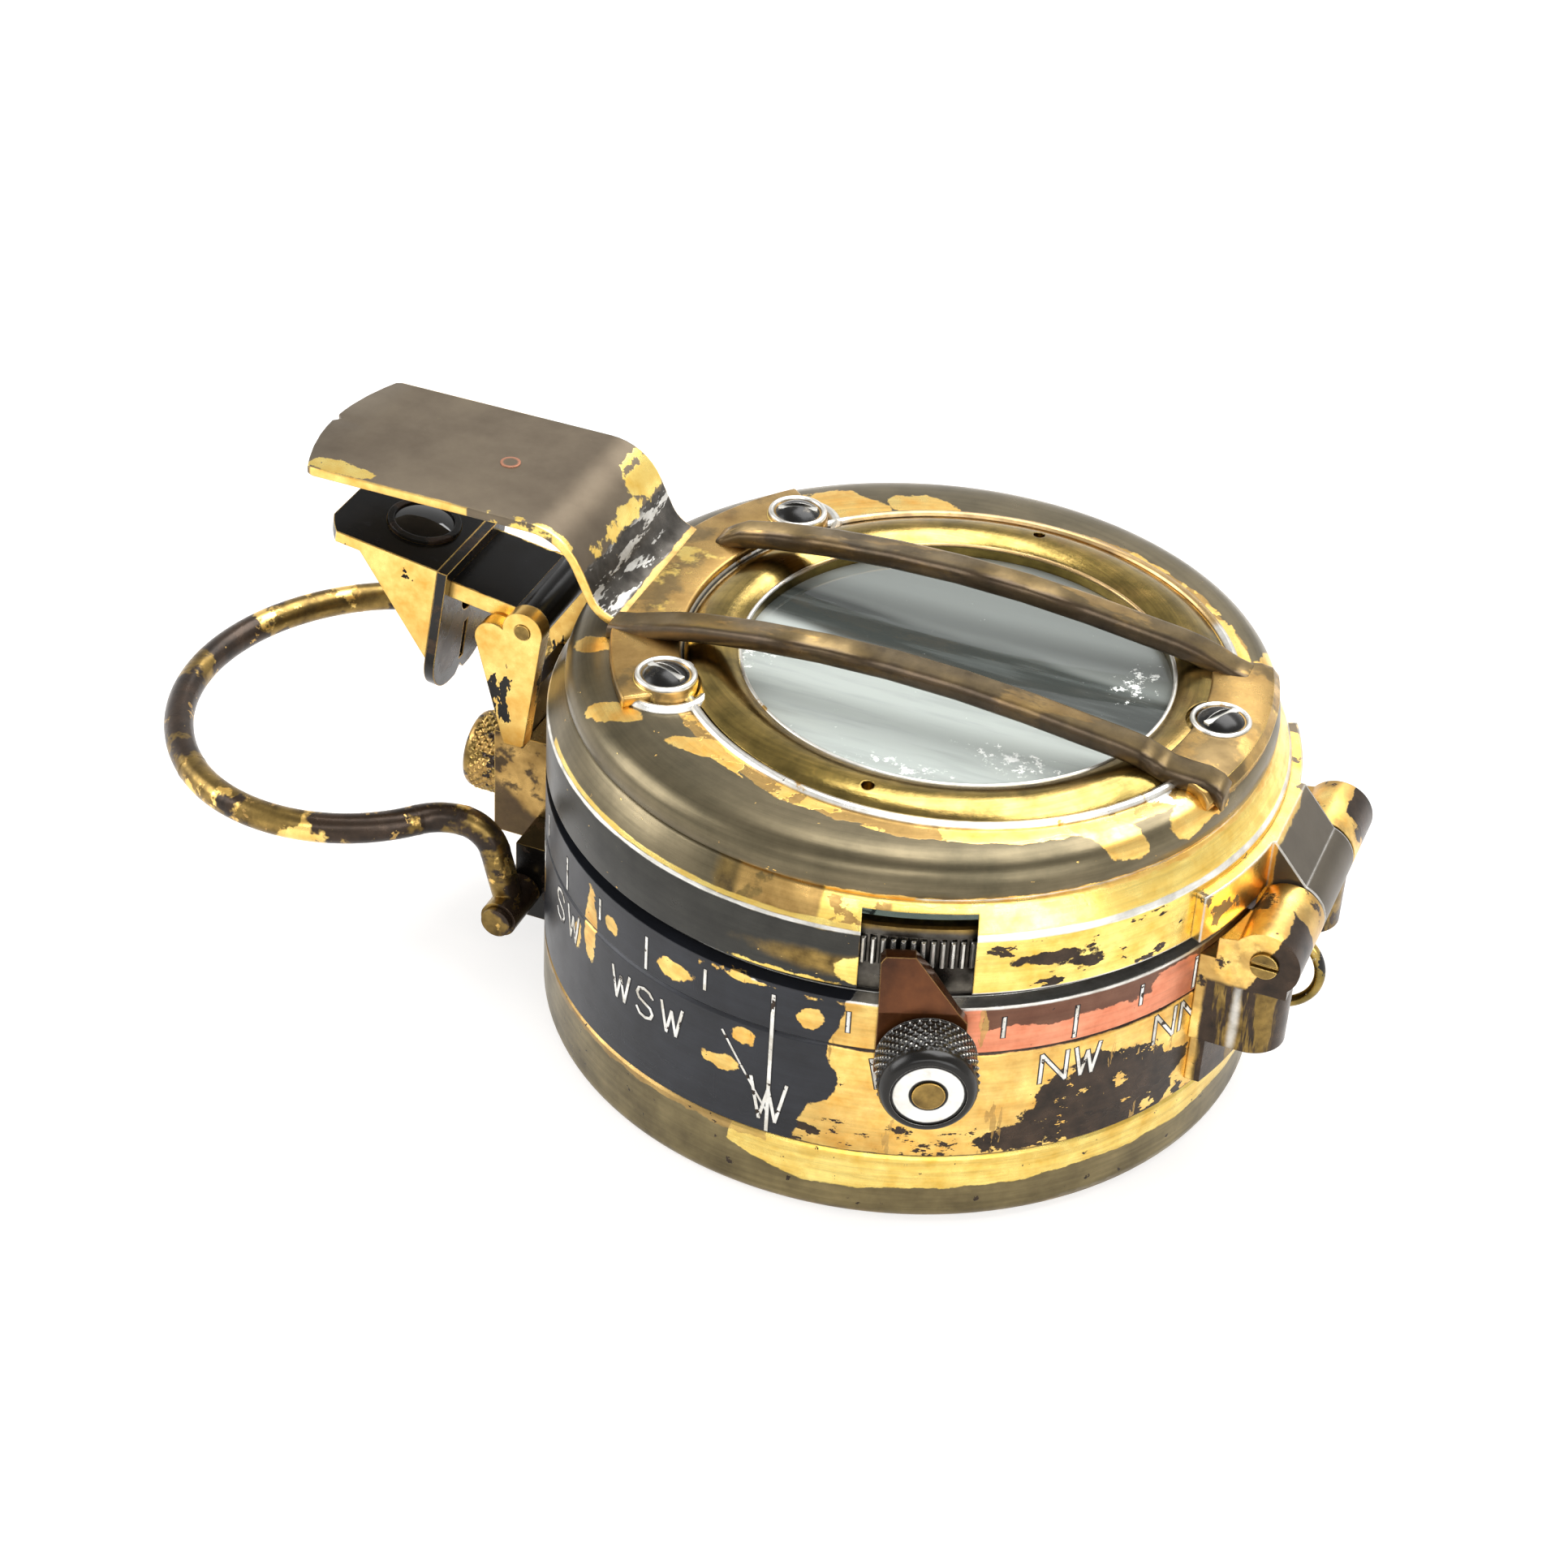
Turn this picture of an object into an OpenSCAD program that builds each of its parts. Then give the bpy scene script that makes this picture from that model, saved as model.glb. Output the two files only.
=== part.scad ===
// Prismatic marching compass with a hinged lid, a folding prism and a thumb ring.
// Origin at the centre of the base, +Z up. The lid hinge lies at +X, the prism and the thumb ring at -X.

/* [Case] */
// Outer diameter of the case and of the lid skirt
case_d = 64; // [60:1:68]
// Height of the case rim above the table
rim_z = 22.8; // [22.4:0.2:24]
// Wall thickness of the case
case_wall = 1.4; // [1.2:0.1:1.6]
// Height of the joint line between the base cap and the case
base_h = 6.9; // [6:0.1:8]
// Thickness of the base cap's floor
floor_t = 2; // [1.6:0.1:2.4]
// Rounding of the base cap's lower edge
base_round = 1.2; // [0.6:0.1:1.6]
// Height of the engraved line round the case above the table
band_line_z = 17.9; // [17:0.1:18.6]
// Depth of the engraved lines
line_depth = 0.25; // [0.1:0.05:0.4]

/* [Capsule and card] */
// Height of the sealed capsule that holds the card
capsule_h = 17.6; // [16.6:0.1:17.8]
// Wall thickness of the capsule
capsule_wall = 0.9; // [0.7:0.1:1.2]
// Thickness of the capsule's glass
capsule_glass_t = 1.2; // [0.8:0.1:1.6]
// Diameter of the compass card
card_d = 50; // [44:0.5:54]
// Thickness of the compass card
card_t = 0.5; // [0.4:0.1:0.8]
// Height of the pivot point above the capsule's floor
pivot_h = 9.6; // [8.6:0.1:10.4]
// Length of each card magnet
magnet_len = 26; // [20:1:32]

/* [Bezel] */
// Height of the bezel ring above the case rim
bezel_h = 6.6; // [6.2:0.1:6.8]
// Number of ribs milled round the bezel's edge
rib_count = 120; // [80:4:140]
// Depth of the grooves between the ribs
rib_depth = 0.5; // [0.3:0.05:0.6]
// Thickness of the bezel's glass
bezel_glass_t = 1.2; // [0.8:0.1:1.4]

/* [Bezel clamp] */
// Direction of the clamp screw, seen from above
clamp_angle = -67.5; // [-75:0.5:-60]
// Height of the clamp screw's axis
clamp_z = 19.3; // [18.8:0.1:19.5]
// Diameter of the knurled clamp screw
clamp_d = 8.4; // [7.6:0.1:8.8]
// Length of the clamp screw's head
clamp_len = 4.8; // [4:0.1:6]
// Thickness of the clamp lever
lever_t = 1.1; // [0.9:0.1:1.3]
// Number of grooves in the knurl of each knob
knurl_count = 32; // [24:2:40]

/* [Lid] */
// Gap between the case rim and the lid's skirt
lid_gap = 1.3; // [1:0.1:1.6]
// Height of the lid's skirt
skirt_h = 5.5; // [5.3:0.1:6.5]
// Wall thickness of the lid's skirt
skirt_wall = 0.9; // [0.8:0.05:1]
// Height of the sloping band above the skirt
band_h = 2.6; // [2.4:0.1:3]
// How far the sloping band leans inwards
band_lean = 1.55; // [1.2:0.05:1.8]
// Rise of the dome above the sloping band
dome_h = 3.5; // [3.2:0.1:4]
// Distance of the window's centre from the lid's centre, towards the hinge
window_shift = 3; // [2:0.1:3.4]
// Clear diameter of the lid's window
window_d = 36.7; // [34:0.1:38]
// Outer diameter of the polished window ring
window_ring_d = 46.4; // [44.6:0.1:47]
// Thickness of the lid's glass
lid_glass_t = 1.3; // [1:0.1:1.6]

/* [Hinge] */
// Distance of the hinge axis outside the case
hinge_out = 3.1; // [3:0.1:3.6]
// Outer diameter of the hinge knuckles
knuckle_d = 6; // [5.4:0.1:6]
// Overall width of the hinge
hinge_w = 24; // [22:0.5:26]
// Diameter of the hinge pin
hinge_pin_d = 2.4; // [1.8:0.1:2.8]
// Wire diameter of the lanyard loop
loop_wire_d = 1; // [0.8:0.1:1.2]

/* [Guard] */
// Thickness of the guard frame's sheet
guard_t = 0.9; // [0.7:0.1:1]
// Width of each bar over the window
bar_w = 2.6; // [2:0.1:3]
// Distance of each bar's middle from the sighting line
bar_y = 8.3; // [7.8:0.1:8.8]
// Height of the bars' top above the lid's seat
bar_rise = 4.4; // [3.8:0.1:5]
// Width of the tongue that covers the prism
tongue_w = 17; // [15:0.5:18]
// Distance of the tongue's outer end from the case's centre line
tongue_reach = 56.3; // [54:0.1:60]
// Height of the tongue's top above the lid's seat
tongue_rise = 8.2; // [7.8:0.1:9]
// Diameter of the guard screws' heads
guard_screw_d = 4; // [3.6:0.1:4.2]

/* [Prism] */
// Distance of the prism's hinge axis outside the case
prism_out = 2.6; // [2.5:0.1:3.2]
// Height of the prism's hinge axis above the case rim
prism_up = 8.7; // [8.4:0.1:9.2]
// Angle at which the stowed prism stands up from the level
prism_tilt = 8; // [4:0.5:10]
// Width of the prism's housing
prism_w = 12; // [11:0.5:13]
// Length of the housing from its eye plate to its outer end
prism_len = 9.4; // [8.8:0.1:10]
// Height of the housing's triangular cheeks
prism_h = 10.6; // [10:0.1:11.4]
// Diameter of the prism's lens
lens_d = 6.6; // [5.6:0.1:7]
// Travel of the focusing slide
slide_travel = 4; // [3:0.5:4]
// Diameter of the focusing screw's knob
focus_d = 7.6; // [7:0.1:8]
// Height of the focusing screw's axis
focus_z = 12.9; // [12.4:0.1:13.2]

/* [Thumb ring] */
// Wire diameter of the thumb ring
ring_wire_d = 2.7; // [2.3:0.1:2.8]
// Height of the thumb ring's pivot
ring_pivot_z = 6.2; // [6:0.1:6.4]
// Distance of the thumb ring's pivot outside the case
ring_out = 0.9; // [0.8:0.1:1.4]
// Length of the thumb ring from its pivot to its outer end
ring_len = 38.9; // [36:0.1:42]
// Bend radius of the ring's outer end, to the middle of the wire
ring_end_r = 20.8; // [19:0.1:22]
// Bend radius of the ring's shoulders, to the middle of the wire
ring_side_r = 15.5; // [14.5:0.1:16.5]

/* [Hidden] */
$fn = 96;

// Clearances: a running fit, a fixed seat, a gap between parts that pass each other
fit = 0.06;
seat = 0.02;
pass = 0.3;
eps = 0.01;
// How far the straight and bent stretches of one sheet run into each other
lap = 0.02;

case_r = case_d / 2;
case_ir = case_r - case_wall;

capsule_r = case_ir - 1.4;
capsule_ir = capsule_r - capsule_wall;
capsule_top = floor_t + capsule_h;
capsule_floor = floor_t + 1;
capsule_rebate = 0.4;
capsule_ring_t = 0.8;
capsule_ring_w = 2.2;
capsule_glass_z = capsule_top - capsule_ring_t - capsule_glass_t;
pivot_tip_z = capsule_floor + pivot_h;
card_z = pivot_tip_z + 0.25;
jewel_d = 3.6;
magnet_w = 2;
magnet_t = 1;
magnet_y = 4;

bezel_z = rim_z + 0.2;
bezel_top = rim_z + bezel_h;
bezel_r = case_r - 1.3;
bezel_collar_r = bezel_r - rib_depth - 0.1;
bezel_spigot_r = case_ir - fit;
bezel_spigot_t = 1.1;
bezel_spigot_h = 2.1;
bezel_bore = bezel_r - 4.1;
bezel_pocket = bezel_r - 2.7;
bezel_ledge_z = rim_z + 2.6;
bezel_edge = 0.4;
rib_z = rim_z + 2.8;
bezel_clip_t = 0.6;

clamp_gap = 0.35;
lever_in = case_r + clamp_gap;
lever_out = lever_in + lever_t;
lever_tip_z = rim_z + 5.1;
lever_foot_z = clamp_z - 3.2;
lever_ridge_r = 0.5;
knob_in = lever_out + clamp_gap;
knob_out = knob_in + clamp_len;
clamp_shank_d = 2.4;

lid_z = rim_z + lid_gap;
crease_z = lid_z + skirt_h;
band_z = crease_z + band_h;
seat_z = band_z + dome_h;
band_r = case_r - band_lean;
lid_ir = case_r - skirt_wall;
ceiling_z = seat_z - 2.9;
window_r = window_d / 2;
window_ring_r = window_ring_d / 2;
lid_glass_z = ceiling_z + 0.7;
seat_r = 25.2 * case_r / 32;

hinge_x = case_r + hinge_out;
hinge_z = rim_z - 0.35;
knuckle_r = knuckle_d / 2;
knuckle_split_near = -4.1;
knuckle_split_far = 5.4;
hinge_gap = 0.2;
leaf_t = 1;
leaf_half_angle = 25;
lug_plate_t = 1.2;
lug_foot_z = 13;
column_r = 3;

guard_z = seat_z;
boss_h = 0.3;
band_in_r = window_ring_r + pass;
band_out_r = window_ring_r + 6.3;
guard_half_angle = 40;
guard_screw_left = [window_shift - 20.6 * case_r / 32, 14.6 * case_r / 32];
guard_screw_right = [case_r - 5.9, 0];
boss_r = 2.9;
plate_x0 = case_r - 7.4;
plate_x1 = case_r - 3.2;
plate_half_w = 10;
guard_shank_d = 1.8;
bar_top = guard_z + bar_rise;
bar_t = 1.6;
bar_arch_r = 108;
bar_peak_x = window_shift - 3.5;
window_bead = window_ring_r - window_r;
bead_rise = 0.17 * window_bead;
bar_clear_z = seat_z + bead_rise + 0.2;
tongue_top = guard_z + tongue_rise;
tongue_bulge = 2;

prism_x = -(case_r + prism_out);
prism_z = rim_z + prism_up;
lens_face_w = 2.2;
eye_u = -8;
eye_t = 1;
sheet_t = 0.8;
housing_u1 = eye_u - eye_t;
housing_u0 = housing_u1 - prism_len + eye_t;
housing_w0 = lens_face_w - 1 - prism_h;
eye_foot_w = housing_w0 - 2.6;
prism_knuckle_r = 1.6;
prism_pin_d = 1.5;
arm_half_w = 4.9;
ear_gap = 0.2;
ear_t = 1.6;
ear_in = arm_half_w + ear_gap;
ear_out = ear_in + ear_t;

bracket_z0 = 8.1;
bracket_z1 = 19;
bracket_half_w = 4.9;
slide_half_w = 3.6;
slide_x1 = prism_x - 0.4;
slide_x0 = slide_x1 - 1.4;
bracket_plate_t = 1.7;
bracket_x0 = slide_x0 - fit - bracket_plate_t;
slot_w = 2.5;
focus_shank_d = 2.2;
focus_x1 = bracket_x0 - 0.3;
focus_x0 = focus_x1 - 3.8;

ring_r = ring_wire_d / 2;
ring_x = -(case_r + ring_out);
ring_z = 2 * ring_pivot_z + ring_r + 0.3;
ring_arm_y = 12.4;
ring_knuckle_r = 1.7;
ring_knuckle_len = 5;
ring_pin_d = 1.8;
ring_bend_r = 3.2;
ring_return_r = 5;
lug_half_w = ring_arm_y - ring_knuckle_len / 2 - 0.5;

// Profile drawn in X and Z, extruded along Y from y0 to y1
module across(y0, y1) {
    translate([0, y1, 0]) rotate([90, 0, 0]) linear_extrude(y1 - y0) children();
}

// Profile drawn in Y and Z, extruded along X from x0 to x1
module along(x0, x1) {
    translate([x0, 0, 0]) rotate([90, 0, 90]) linear_extrude(x1 - x0) children();
}

// Cylinder along Y from y0 to y1
module pin_y(r, y0, y1) {
    translate([0, y1, 0]) rotate([90, 0, 0]) cylinder(r = r, h = y1 - y0);
}

// Cylinder along X from x0 to x1
module pin_x(r, x0, x1) {
    translate([x0, 0, 0]) rotate([0, 90, 0]) cylinder(r = r, h = x1 - x0);
}

// Flat ring between two radii, from z0 to z1
module tube(r1, r0, z0, z1) {
    translate([0, 0, z0]) difference() {
        cylinder(r = r1, h = z1 - z0);
        translate([0, 0, -1]) cylinder(r = r0, h = z1 - z0 + 2);
    }
}

// Sector of the plane between two angles, used to cut bends
module sector(r, a0, a1) {
    am = (a0 + a1) / 2;
    polygon([[0, 0], [cos(a0), sin(a0)] * r, [cos(am), sin(am)] * r * 1.5, [cos(a1), sin(a1)] * r]);
}

// Bent sheet seen from its edge: a list of [straight length, bend angle after it]
module sheet(legs, t, r, i = 0) {
    if (i < len(legs)) {
        run = legs[i][0];
        turn = legs[i][1];
        side = turn < 0 ? 1 : 0;
        translate([-lap, -t / 2]) square([run + 2 * lap, t]);
        translate([run, 0]) {
            if (turn != 0) mirror([0, side]) translate([0, r]) intersection() {
                difference() {
                    circle(r + t / 2);
                    circle(r - t / 2);
                }
                sector(3 * r, -90, -90 + abs(turn));
            }
            translate([r * sin(abs(turn)), sign(turn) * r * (1 - cos(turn))])
                rotate(turn) sheet(legs, t, r, i + 1);
        }
    }
}

// Knob outline with straight grooves cut in its rim
module knurled(r, depth, n) {
    step = 360 / n;
    polygon([for (i = [0 : n - 1]) for (k = [0 : 3])
        let (a = (i + [0, 0.4, 0.5, 0.9][k]) * step, q = k < 2 ? r : r - depth)
        [cos(a), sin(a)] * q]);
}

// The room that the case itself takes, with a seat's gap round it
module case_room(gap = seat) {
    translate([0, 0, -1]) cylinder(r = case_r + gap, h = rim_z + 2);
}

// Frame of the clamp: X points outwards through the clamp screw
module at_clamp() {
    rotate([0, 0, clamp_angle]) children();
}

// Frame of the prism: its hinge axis is the local Y axis, and the stowed prism stands a little proud
module at_prism() {
    translate([prism_x, 0, prism_z]) rotate([0, prism_tilt, 0]) children();
}

// Frame of the lid's window
module at_window() {
    translate([window_shift, 0, 0]) children();
}

module case_body() {
    bore = clamp_shank_d / 2 + seat;
    color("#7a6538") difference() {
        rotate_extrude() difference() {
            translate([case_ir, base_h]) square([case_wall, rim_z - base_h]);
            // engraved line and the chamfer at the joint
            translate([case_r, band_line_z]) rotate(45) square(line_depth * sqrt(2), center = true);
            translate([case_r, base_h]) rotate(45) square(line_depth * sqrt(2), center = true);
        }
        at_clamp() translate([0, 0, clamp_z]) pin_x(bore, case_ir - 1, case_r + 1);
        // holes of the bracket's screws
        for (z = bracket_screw_z()) translate([0, 0, z])
            pin_x(bracket_screw_d / 2 + seat, -case_r - 1, -case_ir + 1);
        // holes of the ring lug's and hinge lug's fixing spigots
        for (y = [-6, 6]) translate([0, y, ring_pivot_z + 2.6])
            pin_x(lug_spigot_r + seat, -case_r - 1, -case_ir + 3);
        for (y = [-8, 8]) translate([0, y, lug_foot_z + 4])
            pin_x(lug_spigot_r + seat, case_ir - 3, case_r + 1);
    }
}
lug_spigot_r = 0.9;
bracket_screw_d = 1.2;
bracket_screw_depth = 1.6;
function bracket_screw_z() = [bracket_z0 + 2.4, bracket_z1 - 2.2];

module base_cap() {
    spigot_top = base_h + 2;
    color("#6e5a30") difference() {
        rotate_extrude() difference() {
            union() {
                translate([0, base_round]) square([case_r, base_h - base_round]);
                square([case_r - base_round, base_round]);
                translate([case_r - base_round, base_round]) circle(base_round);
                square([case_ir - seat, spigot_top]);
            }
            translate([0, floor_t]) square([capsule_r + seat, spigot_top]);
            translate([case_r, base_h]) rotate(45) square(line_depth * sqrt(2), center = true);
        }
        // spanner holes in the underside
        for (x = [-1, 1]) translate([x * case_r * 0.55, 0, -1]) cylinder(d = 1.8, h = 2);
        // the fixing spigots of the ring lug end short of this wall
        for (y = [-6, 6]) translate([0, y, ring_pivot_z + 2.6])
            pin_x(lug_spigot_r + seat, -case_r - 1, -case_ir + 3);
    }
}

module capsule_bowl() {
    color("#8c7340") rotate_extrude() difference() {
        translate([0, floor_t]) square([capsule_r, capsule_h]);
        translate([0, capsule_floor]) square([capsule_ir, capsule_h]);
        translate([0, capsule_glass_z]) square([capsule_ir + capsule_rebate, capsule_h]);
    }
}

module capsule_glass() {
    color("#b8cdd0", 0.4) translate([0, 0, capsule_glass_z])
        cylinder(r = capsule_ir + capsule_rebate - seat, h = capsule_glass_t);
}

module capsule_ring() {
    outer = capsule_ir + capsule_rebate - seat;
    color("#b09048") tube(outer, outer - capsule_ring_w, capsule_glass_z + capsule_glass_t, capsule_top);
}

module pivot_post() {
    color("#a9a9a4") translate([0, 0, capsule_floor]) rotate_extrude() polygon([
        [0, 0], [2.2, 0], [2.2, 1.2], [0.9, 1.8], [0.9, pivot_h - 1.4], [0, pivot_h]]);
}

module compass_card() {
    color("#e9e6dc") difference() {
        translate([0, 0, card_z]) cylinder(d = card_d, h = card_t);
        translate([0, 0, card_z - 1]) cylinder(d = jewel_d + 2 * seat, h = 3);
    }
}

module card_jewel() {
    color("#a33a34") translate([0, 0, card_z]) rotate_extrude() polygon([
        [0, 0.1], [1.1, -1.3], [jewel_d / 2, -1.3], [jewel_d / 2, card_t + 0.3], [1, card_t + 1.1],
        [0, card_t + 1.1]]);
}

module card_magnets() {
    color("#4c5158") for (s = [-1, 1])
        translate([-magnet_len / 2, s * magnet_y - magnet_w / 2, card_z - magnet_t])
            cube([magnet_len, magnet_w, magnet_t]);
}

module bezel_ring() {
    color("#5d564a") {
        difference() {
            union() {
                rotate_extrude() polygon([
                    [bezel_spigot_r - bezel_spigot_t, rim_z - bezel_spigot_h],
                    [bezel_spigot_r, rim_z - bezel_spigot_h],
                    [bezel_spigot_r, rim_z],
                    [bezel_collar_r, bezel_z],
                    [bezel_collar_r, bezel_top - bezel_edge],
                    [bezel_collar_r - bezel_edge, bezel_top],
                    [bezel_pocket + 1, bezel_top],
                    [bezel_bore, bezel_top - 1.8],
                    [bezel_bore, bezel_z + 0.6],
                    [bezel_spigot_r - bezel_spigot_t, bezel_z]]);
                // the milled edge
                translate([0, 0, rib_z]) linear_extrude(bezel_top - 1 - rib_z) difference() {
                    knurled(bezel_r, rib_depth, rib_count);
                    circle(bezel_collar_r - eps);
                }
            }
            translate([0, 0, bezel_ledge_z]) cylinder(r = bezel_pocket, h = bezel_h);
        }
    }
}

module bezel_glass() {
    color("#b8cdd0", 0.4) translate([0, 0, bezel_ledge_z])
        cylinder(r = bezel_pocket - seat, h = bezel_glass_t);
}

module bezel_glass_ring() {
    outer = bezel_pocket - seat;
    z = bezel_ledge_z + bezel_glass_t;
    color("#8f7a45") tube(outer, outer - 1, z, z + bezel_clip_t);
}

module clamp_lever() {
    // outline from the front, with the screw's axis at the origin
    tip = lever_tip_z - clamp_z;
    foot = lever_foot_z - clamp_z;
    color("#5b3a28") at_clamp() translate([0, 0, clamp_z]) difference() {
        // ridge at the foot, on which the lever rocks
        translate([case_r + seat + lever_ridge_r, 0, foot + 0.9]) pin_y(lever_ridge_r, -1.9, 1.9);
        pin_x(clamp_shank_d / 2 + pass, case_r - 1, lever_out + 1);
    }
    color("#5b3a28") at_clamp() translate([0, 0, clamp_z]) difference() {
        intersection() {
            along(case_r - 2, lever_out + 1) polygon([
                [-4.1, foot + 1.2], [-2.9, foot], [1.9, foot], [3.1, foot + 1.2], [3.1, rim_z - clamp_z - 0.3],
                [-1.3, tip], [-3.7, tip], [-4.1, tip - 0.5]]);
            // side view: flat behind the knob, leaning in over the case rim to the ribs
            across(-6, 6) polygon([
                [lever_in, foot], [lever_out, foot], [lever_out, rim_z + 0.6 - clamp_z],
                [bezel_r + pass + lever_t, tip], [bezel_r + pass, tip],
                [bezel_r + pass, tip - 1.8], [lever_in, rim_z + 0.7 - clamp_z]]);
        }
        pin_x(clamp_shank_d / 2 + pass, case_r - 1, lever_out + 1);
    }
}

module clamp_screw() {
    nose = 1.2;
    inlay_r = clamp_d * 0.36;
    color("#26221f") at_clamp() translate([0, 0, clamp_z]) {
        difference() {
            union() {
                translate([knob_in, 0, 0]) rotate([0, 90, 0])
                    linear_extrude(clamp_len - nose) knurled(clamp_d / 2, 0.3, knurl_count);
                translate([knob_out - nose, 0, 0]) rotate([0, 90, 0])
                    rotate_extrude() polygon([
                        [0, 0], [clamp_d / 2 - 0.3, 0], [clamp_d / 2 - 0.3, nose * 0.4],
                        [clamp_d * 0.42, nose], [0, nose]]);
            }
            pin_x(inlay_r, knob_out - 0.5, knob_out + 1);
            pin_x(clamp_d * 0.16, knob_out - 1.5, knob_out + 1);
        }
        pin_x(clamp_shank_d / 2, case_ir + fit, knob_in + eps);
    }
}

module clamp_inlay() {
    color("#d9d9d4") at_clamp() translate([0, 0, clamp_z]) difference() {
        pin_x(clamp_d * 0.36 - seat, knob_out - 0.5, knob_out - 0.1);
        pin_x(clamp_d * 0.16 + seat, knob_out - 1, knob_out + 1);
    }
}

module clamp_pin() {
    color("#6f6238") at_clamp() translate([0, 0, clamp_z])
        pin_x(clamp_d * 0.16 - seat, knob_out - 1.5, knob_out + 0.05);
}

// One fixed knuckle of the hinge with the column below it
module hinge_column(y0, y1, yc) {
    difference() {
        union() {
            translate([hinge_x, 0, hinge_z]) pin_y(knuckle_r, y0, y1);
            // web from the knuckle back to the wall
            across(y0, y1) polygon([
                [case_r - 4, hinge_z + 0.9], [hinge_x - 1, hinge_z + knuckle_r - 1],
                [hinge_x + knuckle_r - 0.8, hinge_z], [hinge_x + knuckle_r - 0.8, hinge_z - knuckle_r],
                [case_r - 4, hinge_z - knuckle_r]]);
            // half-round column
            translate([0, 0, lug_foot_z]) linear_extrude(hinge_z - knuckle_r - lug_foot_z + eps) {
                translate([hinge_x - 0.9, yc]) circle(column_r);
                translate([case_r - 4, yc - column_r]) square([hinge_x - 0.9 - case_r + 4, 2 * column_r]);
            }
        }
        case_room();
        translate([0, 0, rim_z - 1]) cylinder(r = case_r + leaf_t + pass, h = 10);
        translate([hinge_x, 0, hinge_z]) pin_y(hinge_pin_d / 2 + seat, y0 - 1, y1 + 1);
    }
}

module hinge_lug() {
    half = hinge_w / 2;
    color("#8d7433") {
        hinge_column(-half, knuckle_split_near - hinge_gap, -half + column_r);
        hinge_column(knuckle_split_far + hinge_gap, half, half - column_r);
        // plate on the wall that joins the two columns
        difference() {
            translate([0, 0, lug_foot_z - 4.8]) intersection() {
                tube(case_r + lug_plate_t, case_r + seat, 0, hinge_z - knuckle_r - lug_foot_z + 4.6);
                translate([case_r / 2, -half + 0.4, -1]) cube([case_r, hinge_w - 0.8, 30]);
            }
            for (z = loop_z()) translate([0, loop_y, z]) pin_x(loop_wire_d / 2 + seat, case_r - 3, case_r + 4);
        }
        // fixing spigots through the case wall
        for (y = [-8, 8]) translate([0, y, lug_foot_z + 4])
            pin_x(lug_spigot_r, case_ir - 0.6, case_r);
    }
}
loop_y = 1.5;
loop_r = 3.9;
loop_mid_z = lug_foot_z - 0.6;
function loop_z() = [loop_mid_z - loop_r, loop_mid_z + loop_r];

module hinge_pin() {
    half = hinge_w / 2;
    color("#5a4c28") translate([hinge_x, 0, hinge_z]) difference() {
        pin_y(hinge_pin_d / 2, -half - 0.3, half + 0.2);
        translate([-2, -half - 1, -0.25]) cube([4, 1.2, 0.5]);
    }
}

module lanyard_loop() {
    bend_x = case_r + lug_plate_t + 0.5;
    color("#b8a468") translate([0, loop_y, 0]) {
        translate([bend_x, 0, loop_mid_z]) rotate([90, 0, 0]) rotate([0, 0, -90])
            rotate_extrude(angle = 180) translate([loop_r, 0]) circle(loop_wire_d / 2, $fn = 32);
        for (z = loop_z()) translate([0, 0, z]) pin_x(loop_wire_d / 2, case_r + 0.2, bend_x);
    }
}

// Solid form of the lid's top: a dome that runs from the round skirt to the offset window seat
module dome(inset) {
    rise = dome_h + 0.01;
    levels = [[0, 0, band_r], [0.2, 0.37, band_r - 0.75], [0.54, 0.74, band_r - 2.5], [1, 1, seat_r]];
    hull() for (v = levels)
        translate([window_shift * v[0], 0, band_z + dome_h * v[1] - 0.01])
            cylinder(r = v[2] - inset, h = 0.01, $fn = 72);
}

module lid_shell() {
    color("#5f5443") difference() {
        union() {
            rotate_extrude() polygon([
                [0, lid_z], [case_r, lid_z], [case_r, crease_z], [band_r, band_z], [0, band_z]]);
            dome(0);
        }
        // hollow of the skirt
        rotate_extrude() polygon([
            [0, lid_z - 1], [lid_ir, lid_z - 1], [lid_ir, crease_z - 0.4], [band_r - 1, band_z - 0.6],
            [band_r - 3.5, ceiling_z], [0, ceiling_z]]);
        // window: ledge, glass pocket, threaded bore of the window ring
        at_window() {
            translate([0, 0, ceiling_z - 2]) cylinder(r = window_r - 0.2, h = 10);
            translate([0, 0, lid_glass_z]) cylinder(r = window_r + 1.1, h = 10);
            translate([0, 0, seat_z - 0.7]) cylinder(r = window_ring_r + seat, h = 5);
        }
        // notch for the clamp lever
        at_clamp() rotate([0, 0, notch_shift]) translate([case_r - 3.2, -notch_w / 2, lid_z - 1])
            cube([8, notch_w, crease_z + 1.8 - lid_z + 1]);
        // tapped holes of the guard screws
        for (p = guard_screw_points()) translate([p[0], p[1], ceiling_z + 0.6])
            cylinder(d = guard_shank_d + 2 * seat, h = 6);
    }
}
notch_w = 9.2;
notch_shift = -2.2;
function guard_screw_points() = [
    guard_screw_left, [guard_screw_left[0], -guard_screw_left[1]], guard_screw_right];

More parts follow.
